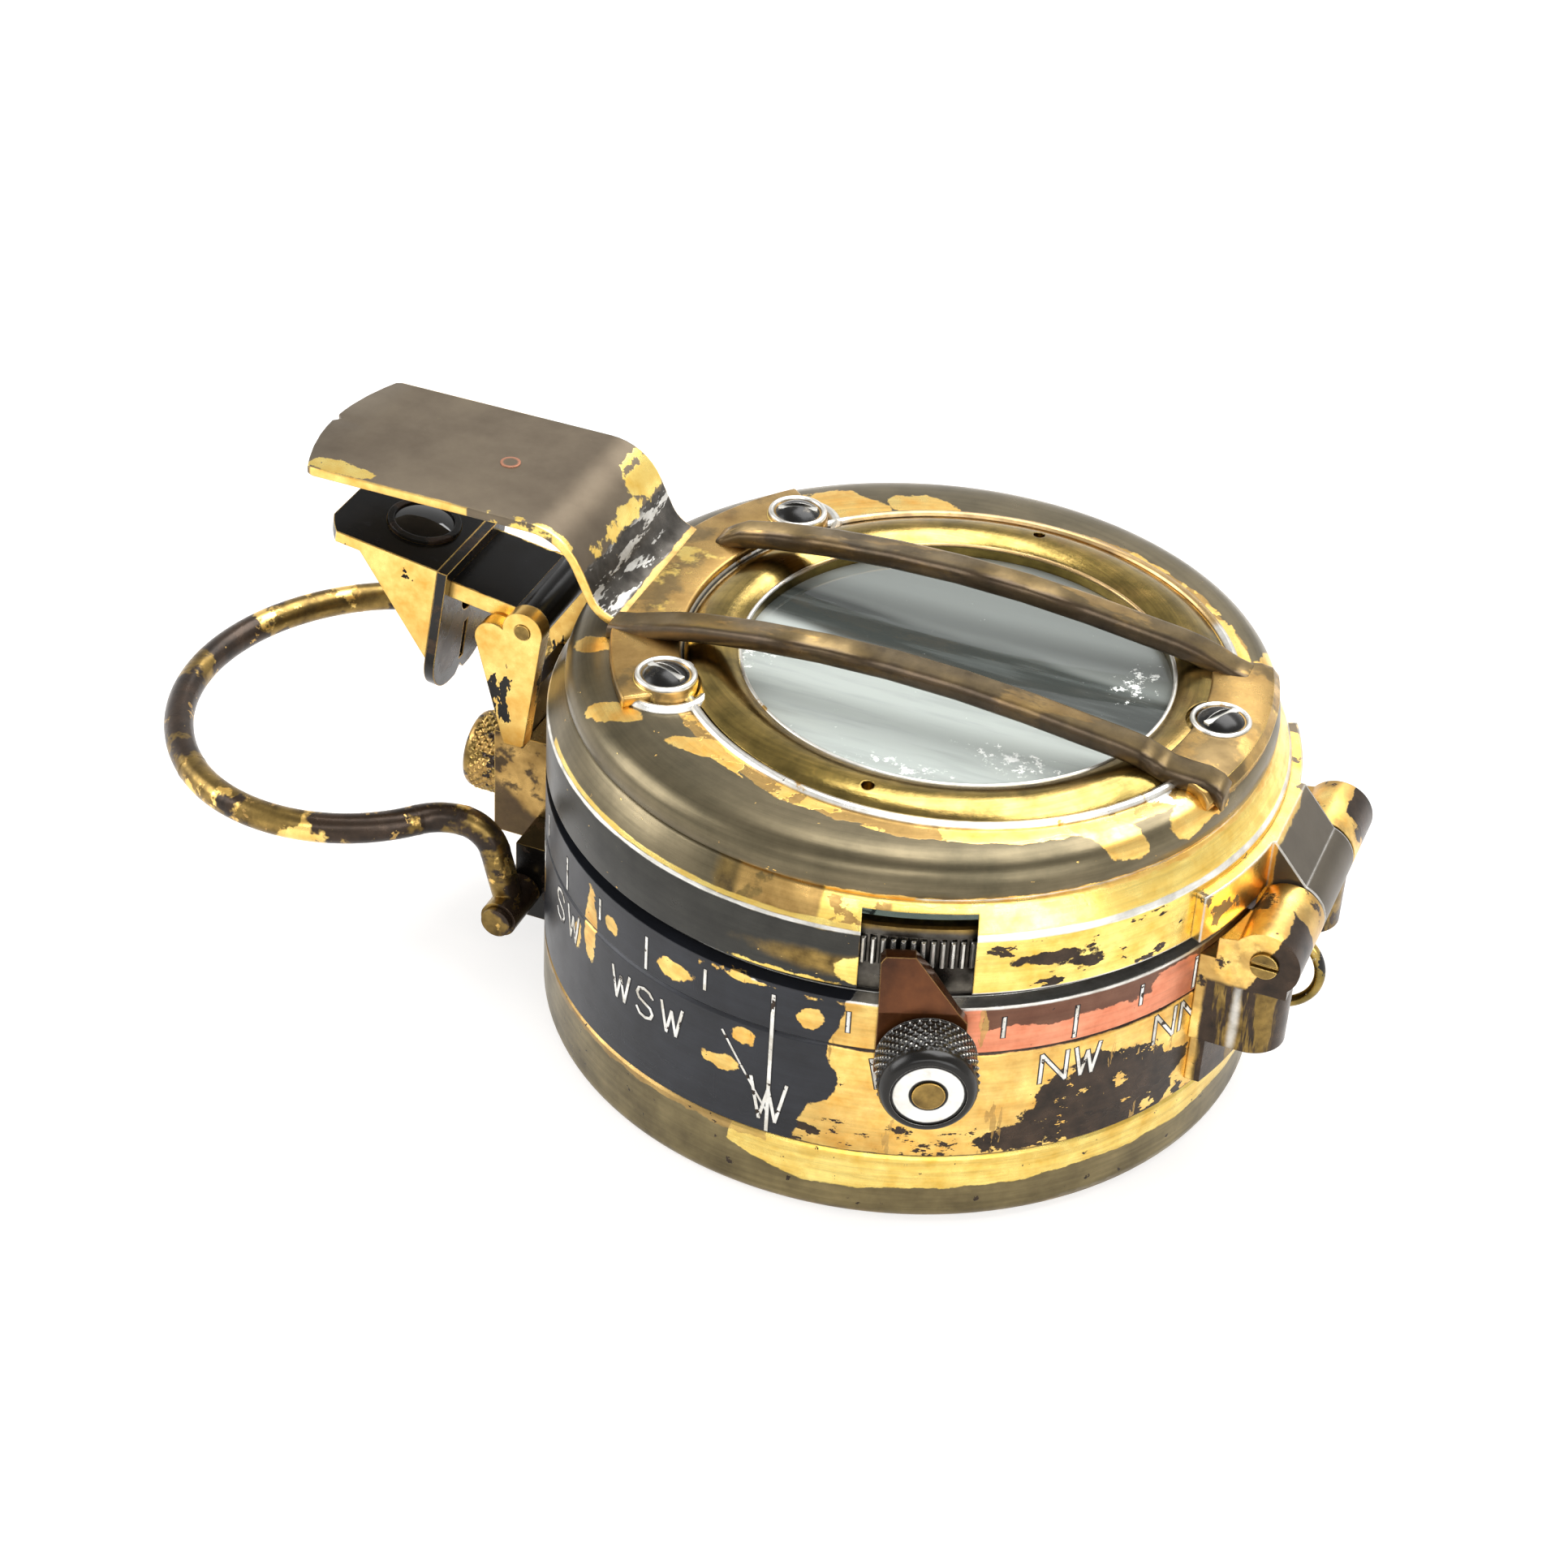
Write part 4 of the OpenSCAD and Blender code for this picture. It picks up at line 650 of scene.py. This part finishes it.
nodeFinishes = {   # finish and the nodes that have it
    "caseWall": "case_body", "baseBand": "base_cap", "innerBrass": "capsule_bowl capsule_ring bezel_glass_ring",
    "clearGlass": "capsule_glass bezel_glass", "screwSteel": "pivot_post guard_screws bracket_screws",
    "jewelRuby": "card_jewel", "magnetSteel": "card_magnets", "bezelMetal": "bezel_ring", "leverMetal": "clamp_lever",
    "inlayWhite": "clamp_inlay", "pinBrass": "clamp_pin hinge_pin prism_hinge_pin", "hingeGold": "hinge_lug",
    "loopBrass": "lanyard_loop", "leafMetal": "lid_leaf", "windowGlass": "lid_glass", "ringMetal": "window_ring",
    "bandMetal": "guard_frame", "rivetBrass": "tongue_rivet", "bracketMetal": "prism_bracket",
    "earMetal": "focus_slide", "armMetal": "prism_arm", "prismBox": "prism_housing", "eyeMetal": "eye_plate",
    "prismGlass": "prism_glass", "shadedEyeLens": "prism_lens", "lensRim": "lens_ring", "darkLug": "ring_lug",
    "wireMetal": "thumb_ring ring_pins", "lidMetal": "lid_shell", "knobBlack": "clamp_screw",
    "knobOlive": "focus_screw", "cardPearl": "compass_card",
}
for surface, nodes in nodeFinishes.items():
    for node in nodes.split():
        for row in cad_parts[node].material_slots:
            row.material = surfaces[surface]
print("CAD nodes have their finishes")

# ---- shared modelling steps ----


def placePiece(name, bm, surface, body, replaced=(), sharpAngle=32):
    bmesh.ops.remove_doubles(bm, verts=bm.verts, dist=1e-7)
    bmesh.ops.recalc_face_normals(bm, faces=bm.faces)
    for face in bm.faces:
        face.smooth = True
    for edge in bm.edges:
        if len(edge.link_faces) == 2 and edge.calc_face_angle(0) > radians(sharpAngle):
            edge.smooth = False
    piece = addMesh(name, bm)
    piece.data.materials.append(surfaces[surface])
    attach(piece, body)
    if replaced:
        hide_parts(*replaced)


def turn(angle, axis="Z"):   # angle in degrees
    return Matrix.Rotation(radians(angle), 4, axis)


def shift(x, y, z):   # in mm
    return Matrix.Translation((x * mm, y * mm, z * mm))


def move(bm, verts, x, y, z):   # in mm
    bmesh.ops.translate(bm, verts=verts, vec=(x * mm, y * mm, z * mm))


def vertsIn(items):
    return [item for item in items if isinstance(item, bmesh.types.BMVert)]


def pushRow(bm, edges):   # one more row of faces from a chain of edges
    made = bmesh.ops.extrude_edge_only(bm, edges=edges)["geom"]
    verts = vertsIn(made)
    return verts, [item for item in made if isinstance(item, bmesh.types.BMEdge) and set(item.verts) <= set(verts)]


def addBox(bm, size, place, angle):   # a box of this size at this place, then turned round the Z axis
    made = bmesh.ops.create_cube(bm, size=1)["verts"]
    bmesh.ops.scale(bm, vec=[part * mm for part in size], verts=made)
    move(bm, made, *place)
    bmesh.ops.rotate(bm, verts=made, cent=(0, 0, 0), matrix=turn(angle))
    return made


def loftRings(rings, segments):   # closed rings of (radius, height) or (radius, height, place along X)
    bm = bmesh.new()
    rings = [(*ring, 0)[:3] for ring in rings]
    radius, z, away = rings[0]
    bmesh.ops.create_circle(bm, segments=segments, radius=radius * mm)
    move(bm, bm.verts, away, 0, z)
    edges = first = bm.edges[:]
    for newRadius, newZ, newAway in rings[1:]:
        verts, edges = pushRow(bm, edges)
        size = newRadius / radius
        bmesh.ops.scale(bm, vec=(size, size, 1), space=shift(-away, 0, 0), verts=verts)
        move(bm, verts, newAway - away, 0, newZ - z)
        radius, z, away = newRadius, newZ, newAway
    bmesh.ops.bridge_loops(bm, edges=first + edges)
    return bm


def cutAway(bm, cutter):   # the first shape less the second one
    for source in (bm, cutter):
        bmesh.ops.recalc_face_normals(source, faces=source.faces)
    work, tool = addMesh("work", bm), addMesh("tool", cutter)
    cut = work.modifiers.new("cut", "BOOLEAN")
    cut.operation, cut.object, cut.solver = "DIFFERENCE", tool, "EXACT"
    bpy.context.view_layer.update()
    result = bmesh.new()
    result.from_object(work, bpy.context.evaluated_depsgraph_get())
    for item in (work, tool):
        mesh = item.data
        bpy.data.objects.remove(item)
        bpy.data.meshes.remove(mesh)
    return result


# ---- lid ----

lidSettings = dict(
    segments=240,
    # radius, height and shift of each ring, from the skirt's lower edge over the dome and back inside
    outside=[(31.85, 24.1), (32, 24.25), (32, 29.45), (31.93, 29.62), (30.5, 32.05), (30.35, 32.2), (30.1, 32.3),
             (30.42, 32.5), (30.5, 32.9), (30.5, 33.3, 0.02), (30.42, 33.7, 0.06), (30.27, 34.1, 0.1),
             (30.03, 34.5, 0.15), (29.7, 34.85, 0.25), (29.25, 35.15, 0.4), (28.65, 35.4, 0.65), (27.9, 35.56, 1.05),
             (27, 35.64, 1.7), (26, 35.68, 2.4), (24.9, 35.7, 3)],
    window=[(23.27, 35.7, 3), (23.22, 35.65, 3), (23.22, 35, 3), (19.45, 35, 3), (19.45, 33.5, 3), (18.15, 33.5, 3),
            (18.15, 32.8, 3)],
    inside=[(26.95, 32.8), (29.45, 31.6), (31.1, 29.2), (31.1, 24.25), (31.25, 24.1)],
    notchWidth=9.2, notchDepth=8, notchAt=32.8, notchAngle=-69.7, notchFoot=22, notchTop=31.4,
)


def makeLid(s):
    bm = loftRings(s["outside"] + s["window"] + s["inside"], s["segments"])
    notch = bmesh.new()
    high = s["notchTop"] - s["notchFoot"]
    addBox(notch, (s["notchDepth"], s["notchWidth"], high), (s["notchAt"], 0, s["notchFoot"] + high / 2),
           s["notchAngle"])
    placePiece("lidShell", cutAway(bm, notch), "lidMetal", "lid", ["lid_shell"], sharpAngle=28)


makeLid(lidSettings)
print("lid is modelled")

# ---- guard over the window: tongue, band, bars and end plate ----

guardSettings = dict(
    sheet=0.9, tongueHalf=8.5, tongueTop=43.9, tongueEnd=-56.3, bow=2, notch=(0.3, 0.6),
    lowerBend=3, upperBend=5.4, lean=64, root=-24.4, rootTop=36.6, bendSteps=8, corner=0.4,
    bandCentre=3, bandSection=[(23.5, 35.7), (29.5, 35.5), (29.5, 36.6), (23.5, 36.6)], bandHalfAngle=40,
    plateSection=[(24.3, 35.6), (24.3, 36.6), (28.6, 36.6), (29.6, 36.25), (30.2, 35.5), (30.1, 34.7),
                  (29.5, 35), (28.6, 35.6)], plateHalfAngle=20.5,
    barSize=(3, 1.7), barRound=0.62, barY=8.3, endRound=0.4,
    arch=[(-17, 38), (-12, 38.68), (-6, 39.16), (0, 39.3), (6, 39.1), (12, 38.58), (17, 37.95), (20, 37.6)],
    nearEnds=([(-25.3, 35.85), (-23.6, 36.2), (-21.6, 36.85), (-19.6, 37.45)],
              [(21.8, 37.3), (23.2, 36.8), (24.3, 36.35), (25.8, 36.2), (27.4, 36.15), (28.5, 35.75), (29.2, 35.1)]),
    farEnds=([(-22.4, 35.9), (-21.4, 36.6), (-20.2, 37.3)],
             [(21.8, 37.25), (23.4, 36.75), (25, 36.1), (26.4, 35.75)]),
    bosses=[(-17.6, 14.6), (-17.6, -14.6)], bossRadius=2.9, bossTop=36.9, bossFoot=34.2,
    endScrew=(26.1, 0), endScrewTop=36.6, slotAngles=(20, -15, 60), slotGlint=(3.5, 0.58, 0.3),
    # radius, wire and height of the bright rims: raised lips, coloured near white as painted highlights on their edges
    windowRim=(23.8, 0.44, 35.7), glassRim=(18.47, 0.2, 35.84), bossRim=(3.55, 0.55, 35.62),
    screwRims=((2.38, 0.26), (2.35, 0.24)),   # radius and wire
)


def roundEdges(bm, offset, segments, angle=40):
    bmesh.ops.recalc_face_normals(bm, faces=bm.faces)
    sharp = [edge for edge in bm.edges if len(edge.link_faces) == 2
             and edge.calc_face_angle(0) > radians(angle)]
    bmesh.ops.bevel(bm, geom=sharp, offset=offset * mm, segments=segments, profile=0.5, affect="EDGES", material=-1,
                    clamp_overlap=True)


def makeTongue(s):
    bm = bmesh.new()
    half, place, deep = s["tongueHalf"], *s["notch"]
    across = [-half, -half + 0.25, -7, -5, -3, -1.5, place - deep, place, place + deep, 1.8, 3, 5, 7, half - 0.25, half]
    verts = []
    for y in across:   # the bowed free end, with its notch and its cut corners
        x = s["tongueEnd"] + s["bow"] * (y / half) ** 2
        x += deep if y == place else s["corner"] if abs(y) == half else 0
        verts.append(bm.verts.new((x * mm, y * mm, 0)))
    edges = [bm.edges.new(pair) for pair in zip(verts, verts[1:])]
    row, edges = pushRow(bm, edges)
    for vert in row:
        vert.co.x = (s["tongueEnd"] + 4) * mm
    lean = radians(s["lean"])
    rise = s["tongueTop"] - s["rootTop"] - (s["lowerBend"] + s["upperBend"]) * (1 - cos(lean))
    path = [(s["root"] + 1.5, -0.1), (s["root"], -0.06)]
    steps = s["bendSteps"]
    for i in range(1, steps + 1):
        bend = lean * i / steps
        path.append((s["root"] - s["lowerBend"] * sin(bend), s["lowerBend"] * (1 - cos(bend))))
    x, z = path[-1]
    x, z = x - rise / tan(lean), z + rise
    path.append((x, z))
    for i in range(1, steps + 1):
        bend = lean * (1 - i / steps)
        path.append((x - s["upperBend"] * (sin(lean) - sin(bend)),
                     z + s["upperBend"] * (cos(bend) - cos(lean))))
    path = [(x, z + s["tongueTop"] - path[-1][1]) for x, z in reversed(path)]
    move(bm, bm.verts, 0, 0, path[0][1])
    last = (s["tongueEnd"] + 4, path[0][1])
    for x, z in path:
        row, edges = pushRow(bm, edges)
        move(bm, row, x - last[0], 0, z - last[1])
        last = (x, z)
    bmesh.ops.recalc_face_normals(bm, faces=bm.faces)
    if sum(face.normal.z for face in bm.faces) < 0:
        bmesh.ops.reverse_faces(bm, faces=bm.faces)
    bmesh.ops.solidify(bm, geom=bm.faces[:], thickness=s["sheet"] * mm)
    top = max(vert.co.z for vert in bm.verts)
    bmesh.ops.translate(bm, verts=bm.verts, vec=(0, 0, s["tongueTop"] * mm - top))
    roundEdges(bm, 0.2, 2, 50)
    placePiece("guardTongue", bm, "tongueMetal", "lid", ["guard_frame"])


def addArc(bm, section, centre, start, end, steps):   # a section of (radius, height) turned part of the way round
    verts = [bm.verts.new(((centre + radius) * mm, 0, z * mm)) for radius, z in section]
    face = bm.faces.new(verts)
    middle = (centre * mm, 0, 0)
    bmesh.ops.rotate(bm, verts=verts, cent=middle, matrix=turn(start))
    bmesh.ops.spin(bm, geom=[face], cent=middle, axis=(0, 0, 1), angle=radians(end - start), steps=steps,
                   use_duplicate=False)


def addPost(bm, place, radii, z0, z1, segments=40):
    made = bmesh.ops.create_cone(bm, segments=segments, radius1=radii[0] * mm, radius2=radii[1] * mm,
                                 depth=(z1 - z0) * mm, cap_ends=True)["verts"]
    move(bm, made, *place, (z0 + z1) / 2)


def makeBand(s):
    bm = bmesh.new()
    half = s["bandHalfAngle"]
    addArc(bm, s["bandSection"], s["bandCentre"], 180 - half, 180 + half, 48)
    for place in s["bosses"]:
        addPost(bm, place, (s["bossRadius"] + 0.15, s["bossRadius"] - 0.25), s["bossFoot"], s["bossTop"])
    addArc(bm, s["plateSection"], 0, -s["plateHalfAngle"], s["plateHalfAngle"], 28)
    roundEdges(bm, 0.22, 3, 50)
    placePiece("guardBand", bm, "bandMetal", "lid")


def makeBar(name, s, way, ends):   # the way is -1 on the near side, 1 on the far one
    path = ends[0] + s["arch"] + ends[1]
    bm = bmesh.new()
    wide, high = s["barSize"]
    verts = bmesh.ops.create_grid(bm, x_segments=1, y_segments=1, size=0.5)["verts"]
    bmesh.ops.scale(bm, vec=(wide * mm, high * mm, 1), verts=verts)
    bmesh.ops.bevel(bm, geom=verts, offset=s["barRound"] * mm, segments=4, profile=0.5, affect="VERTICES",
                    material=-1)
    face = bm.faces[:][0]
    x, z = path[0]
    bmesh.ops.transform(bm, verts=face.verts, matrix=shift(x, way * s["barY"], z) @ turn(90) @ turn(90, "X"))
    for newX, newZ in path[1:]:
        made = bmesh.ops.extrude_face_region(bm, geom=[face], use_keep_orig=len(bm.faces) == 1)["geom"]
        face = next(item for item in made if isinstance(item, bmesh.types.BMFace))
        move(bm, face.verts, newX - x, 0, newZ - z)
        x, z = newX, newZ
    bmesh.ops.smooth_vert(bm, verts=[vert for vert in bm.verts if len(vert.link_faces) == 4], factor=0.25,
                          use_axis_z=True)
    roundEdges(bm, s["endRound"], 3, 60)
    placePiece(name, bm, "barMetal", "lid", sharpAngle=60)


def addHoop(bm, centre, radius, wire, z, steps=96):
    verts = bmesh.ops.create_circle(bm, segments=10, radius=wire * mm)["verts"]
    edges = list({edge for vert in verts for edge in vert.link_edges})
    bmesh.ops.transform(bm, verts=verts, matrix=shift(centre[0] + radius, centre[1], z) @ turn(90, "X"))
    bmesh.ops.spin(bm, geom=verts + edges, cent=(centre[0] * mm, centre[1] * mm, 0), axis=(0, 0, 1),
                   angle=radians(360), steps=steps, use_merge=True, use_duplicate=False)


def makeRims(s):
    bm = bmesh.new()
    addHoop(bm, (s["bandCentre"], 0), *s["windowRim"], 160)
    addHoop(bm, (s["bandCentre"], 0), *s["glassRim"], 160)
    for place in s["bosses"]:
        addHoop(bm, place, *s["bossRim"])
        addHoop(bm, place, *s["screwRims"][0], s["bossTop"])
    addHoop(bm, s["endScrew"], *s["screwRims"][1], s["endScrewTop"])
    # bright floors of the screw slots: painted glints along each slot
    for place, top, angle in zip([*s["bosses"], s["endScrew"]], (s["bossTop"], s["bossTop"], s["endScrewTop"]),
                                 s["slotAngles"]):
        made = addBox(bm, s["slotGlint"], (0, 0, 0), angle)
        move(bm, made, *place, top + s["slotGlint"][2])
    placePiece("windowRims", bm, "rimSilver", "lid")


makeTongue(guardSettings)
makeBand(guardSettings)
makeBar("guardBarNear", guardSettings, -1, guardSettings["nearEnds"])
makeBar("guardBarFar", guardSettings, 1, guardSettings["farEnds"])
makeRims(guardSettings)
print("guard is modelled")

# ---- milled bezel ----

bezelSettings = dict(
    ribs=240, ribDepth=0.45, ribFrom=25.6, ribTo=28.4, ribRadius=30.66,
    before=[(28.5, 23), (29.4, 22.8), (29.4, 20.7), (30.5, 20.7), (30.5, 22.8), (30.2, 23), (30.2, 25.58)],
    after=[(30.2, 28.42), (30.2, 29), (30.1, 29.25), (29.8, 29.4), (29, 29.4), (28, 28.65), (28, 25.4),
           (26.6, 25.4), (26.6, 23.6)],
)


def makeBezel(s):
    tooth = [(s["ribRadius"], z) for z in (s["ribFrom"], s["ribFrom"] + 0.2, s["ribTo"] - 0.2, s["ribTo"])]
    count = s["ribs"] * 4
    bm = loftRings(s["before"] + tooth + s["after"], count)
    for vert in bm.verts:
        radius = hypot(vert.co.x, vert.co.y) / mm
        number = round(atan2(vert.co.y, vert.co.x) / (2 * pi) * count) % 4
        if abs(radius - s["ribRadius"]) < 0.02 and (number in (2, 3) or not
                                                    s["ribFrom"] + 0.1 < vert.co.z / mm < s["ribTo"] - 0.1):
            size = 1 - s["ribDepth"] / radius
            vert.co.x *= size
            vert.co.y *= size
    placePiece("bezelRim", bm, "bezelMetal", "bezel", ["bezel_ring"], sharpAngle=25)


makeBezel(bezelSettings)
print("bezel is modelled")

# ---- knurled knobs ----

clampSettings = dict(
    count=32, pitch=0.85, depth=0.26, samples=6, knurlTo=3.5, radius=4.2,
    # radius and height of each ring after the knurl: nose, inlay's recess, pin's bore
    nose=[(3.95, 3.62), (3.98, 3.9), (3.86, 4.25), (3.66, 4.6), (3.46, 4.78), (3.3, 4.8), (3.05, 4.8),
          (3.02, 4.3), (1.344, 4.3), (1.344, 3.3)],
    shank=[(1.2, 3.2), (1.2, -3.1), (1.15, -3.14)],
    start=33.8, angle=-67.5, z=19.3,
)
focusSettings = dict(
    count=28, pitch=0.9, depth=0.26, samples=6, knurlTo=3, radius=3.8,
    nose=[(3.6, 3.1), (3.55, 3.4), (3.35, 3.68), (3.1, 3.8), (2, 3.8), (1.9, 3.72), (1.3, 3.72)],
    shank=[(1.1, 3.6), (1.1, -3.3), (1.05, -3.4)],
    start=38.46, angle=180, z=12.9,
)


def knurlHeight(angle, z, s):   # 0 at the bottom of a groove, 1 at the point of a diamond
    turns, rise = angle / (2 * pi) * s["count"], z / s["pitch"]
    return min(1 - abs(2 * (value % 1) - 1) for value in (turns + rise, turns - rise))


def makeKnob(name, s, surface, body, replaced):
    rows = round(s["knurlTo"] / s["pitch"] * s["samples"])
    start = [(1.2, 0), (s["radius"] - 0.35, 0), (s["radius"] - 0.1, 0.12)]
    knurl = [(s["radius"], 0.12 + (s["knurlTo"] - 0.12) * i / rows) for i in range(1, rows + 1)]
    bm = loftRings(start + knurl + s["nose"] + s["shank"], s["count"] * s["samples"])
    for vert in bm.verts:
        radius = hypot(vert.co.x, vert.co.y) / mm
        if abs(radius - s["radius"]) < 0.01:
            fall = s["depth"] * (1 - knurlHeight(atan2(vert.co.y, vert.co.x), vert.co.z / mm, s))
            size = (radius - fall) / radius
            vert.co.x *= size
            vert.co.y *= size
    bmesh.ops.transform(bm, matrix=turn(s["angle"]) @ shift(s["start"], 0, s["z"]) @ turn(90, "Y"), verts=bm.verts)
    placePiece(name, bm, surface, body, replaced, sharpAngle=40)


makeKnob("clampKnob", clampSettings, "knobBlack", "clamp_screw", ["clamp_screw"])
makeKnob("focusKnob", focusSettings, "knobOlive", "focus_screw", ["focus_screw"])
print("knobs are modelled")

# ---- marks on the case wall ----

markSettings = dict(
    radius=32, proud=0.02, deep=0.12, stroke=0.29, tickStroke=0.28, cardinalStroke=0.32,
    letterHigh=2.95, letterWide=2.25, letterGap=0.8, cardinalSize=1.4, shade=0.2,
    ticks=32, tickTop=21.6, tickLow=19.6, longTickLow=18.4, cardinalLow=7.3,
    letterMiddle=15.6, cardinalMiddle=10.5,
    slips={"WSW": -0.9, "NNW": 0.3, "SE": -0.3, "NE": 0.4},   # the engraver's slips in height
    scratch=((-97.9, 16.3), (-90, 9.3)), scratchWide=0.2,   # angle and height of its ends
)
letterStrokes = {
    "N": [[(0, 0), (0, 1), (1, 0), (1, 1)]],
    "E": [[(0, 0), (0, 1)], [(0, 1), (0.85, 1)], [(0, 0.52), (0.7, 0.52)], [(0, 0), (0.85, 0)]],
    "W": [[(0, 1), (0.27, 0), (0.5, 0.8), (0.73, 0), (1, 1)]],
    "S": [[(0.9, 0.8), (0.74, 0.95), (0.45, 1), (0.18, 0.92), (0.08, 0.74), (0.2, 0.58), (0.5, 0.5), (0.8, 0.42),
           (0.92, 0.26), (0.82, 0.08), (0.55, 0), (0.26, 0.05), (0.08, 0.22)]],
}
directionNames = ["N", "NNE", "NE", "ENE", "E", "ESE", "SE", "SSE", "S", "SSW", "SW", "WSW", "W", "WNW", "NW", "NNW"]


def addStroke(bm, start, end, wide, high):   # a bar from start to end in a flat layout, in mm
    run = Vector(end) - Vector(start)
    steps = max(1, round(run.length / 0.5))
    made = bmesh.ops.create_grid(bm, x_segments=steps, y_segments=1, size=0.5)["verts"]
    bmesh.ops.scale(bm, vec=(run.length + wide * 0.5, wide, 1), verts=made)
    bmesh.ops.rotate(bm, verts=made, matrix=Matrix.Rotation(atan2(run.y, run.x), 3, "Z"))
    middle = (Vector(start) + Vector(end)) / 2
    bmesh.ops.translate(bm, verts=made, vec=(middle.x, middle.y, 0))
    faces = list({face for vert in made for face in vert.link_faces})
    lifted = bmesh.ops.extrude_face_region(bm, geom=faces)["geom"]
    bmesh.ops.translate(bm, verts=vertsIn(lifted), vec=(0, 0, high))


def addWord(bm, word, centre, s, wide, high, size):
    letter, gap = s["letterWide"] * size, s["letterGap"] * size
    left = centre[0] - (len(word) * (letter + gap) - gap) / 2
    for number, name in enumerate(word):
        for line in letterStrokes[name]:
            points = [(left + number * (letter + gap) + u * letter, centre[1] + (v - 0.5) * s["letterHigh"] * size)
                      for u, v in line]
            for start, end in zip(points, points[1:]):
                addStroke(bm, start, end, wide, high)


def makeWallMarks(name, surface, s, extra, proud):
    bm = bmesh.new()
    around = radians(1) * s["radius"]
    high = s["deep"] + proud
    for number in range(s["ticks"]):
        angle = number * 360 / s["ticks"]
        cardinal, named = number % 8 == 0, number % 2 == 0
        low = s["cardinalLow"] if cardinal else s["longTickLow"] if named else s["tickLow"]
        wide = s["cardinalStroke"] if cardinal else s["tickStroke"]
        addStroke(bm, (angle * around, low), (angle * around, s["tickTop"]), wide + extra, high)
    for number, word in enumerate(directionNames):
        cardinal = number % 4 == 0
        height = (s["cardinalMiddle"] if cardinal else s["letterMiddle"]) + s["slips"].get(word, 0)
        addWord(bm, word, (number * 22.5 * around, height), s, s["stroke"] + extra, high,
                s["cardinalSize"] if cardinal else 1)
    addStroke(bm, *[(angle * around, z) for angle, z in s["scratch"]], s["scratchWide"] + extra / 2, high)
    for vert in bm.verts:   # wrap the flat layout round the wall
        angle = vert.co.x / s["radius"]
        radius = s["radius"] - s["deep"] + vert.co.z
        vert.co = Vector((radius * cos(angle), radius * sin(angle), vert.co.y)) * mm
    placePiece(name, bm, surface, "case")


makeWallMarks("wallMarks", "markWhite", markSettings, 0, markSettings["proud"])
# painted shadow: dark strokes a little wider than the white marks, just under them, outline the engraving
makeWallMarks("markShadowOutline", "cardInk", markSettings, markSettings["shade"], markSettings["proud"] / 2)
print("wall marks are modelled")

# ---- compass card ----

cardSettings = dict(
    outer=25, hole=1.82, z=12.85, thick=0.5, edge=0.08,
    # radii of the ticks' ends; the lesser ones are shorter
    ink=0.03, sunk=0.01, outerTicks=(23.2, 24.7), innerTicks=(15.6, 16.8), shorter=0.55,
    outerText=21.6, innerText=13.6, textHigh=1.9, cardinalHigh=3.4, cardinalText=9.6, tickWide=(0.16, 0.14),
)


def addText(bm, words, size, matrix, high):
    curve = bpy.data.curves.new("words", "FONT")
    curve.body = words
    curve.size = size * mm
    curve.align_x, curve.align_y = "CENTER", "CENTER"
    curve.resolution_u = 2
    curve.extrude = high * mm / 2
    item = addObject("words", curve)
    bpy.context.view_layer.update()
    mesh = bpy.data.meshes.new_from_object(item.evaluated_get(bpy.context.evaluated_depsgraph_get()))
    mesh.transform(matrix)
    bm.from_mesh(mesh)
    bpy.data.objects.remove(item)
    bpy.data.curves.remove(curve)
    bpy.data.meshes.remove(mesh)


def makeCard(s):
    top, edge, high = s["z"] + s["thick"], s["edge"], s["ink"]
    rings = [(s["outer"] - edge, s["z"]), (s["outer"], s["z"] + edge), (s["outer"], top - edge),
             (s["outer"] - edge, top), (s["hole"], top), (s["hole"], s["z"])]
    placePiece("cardDial", loftRings(rings, 180), "cardPearl", "card", ["compass_card"])
    ink = bmesh.new()

    def tick(degree, start, end, wide):
        addBox(ink, (end - start, wide, high), ((start + end) / 2, 0, top - s["sunk"] + high / 2), degree)

    def figure(degree, words, radius, size, mirrored=False):
        place = shift(0, 0, top + high / 2 - s["sunk"]) @ turn(-degree) @ (shift(radius, 0, 0) @ turn(-90))
        addText(ink, words, size, place @ Matrix.Diagonal((-1, 1, 1, 1)) if mirrored else place, high)

    for degree in range(0, 360, 2):
        reach = 0 if degree % 10 == 0 else s["shorter"]
        tick(degree, s["outerTicks"][0] + reach, s["outerTicks"][1], s["tickWide"][0])
        if degree % 5 == 0 or degree % 4 == 0:
            tick(degree, s["innerTicks"][0], s["innerTicks"][1] - reach, s["tickWide"][1])
    for degree in range(0, 360, 10):
        # the outer figures are mirrored and count from the south, for reading through the prism
        figure(degree, str((degree + 180) % 360 or 360), s["outerText"], s["textHigh"], True)
        if degree % 30 == 0:
            figure(degree, str(degree or 360), s["innerText"], s["textHigh"] * 0.9)
        if degree % 90 == 0:
            figure(degree, "NESW"[degree // 90], s["cardinalText"], s["cardinalHigh"])
    placePiece("cardMarks", ink, "cardInk", "card")


makeCard(cardSettings)
print("card is modelled")
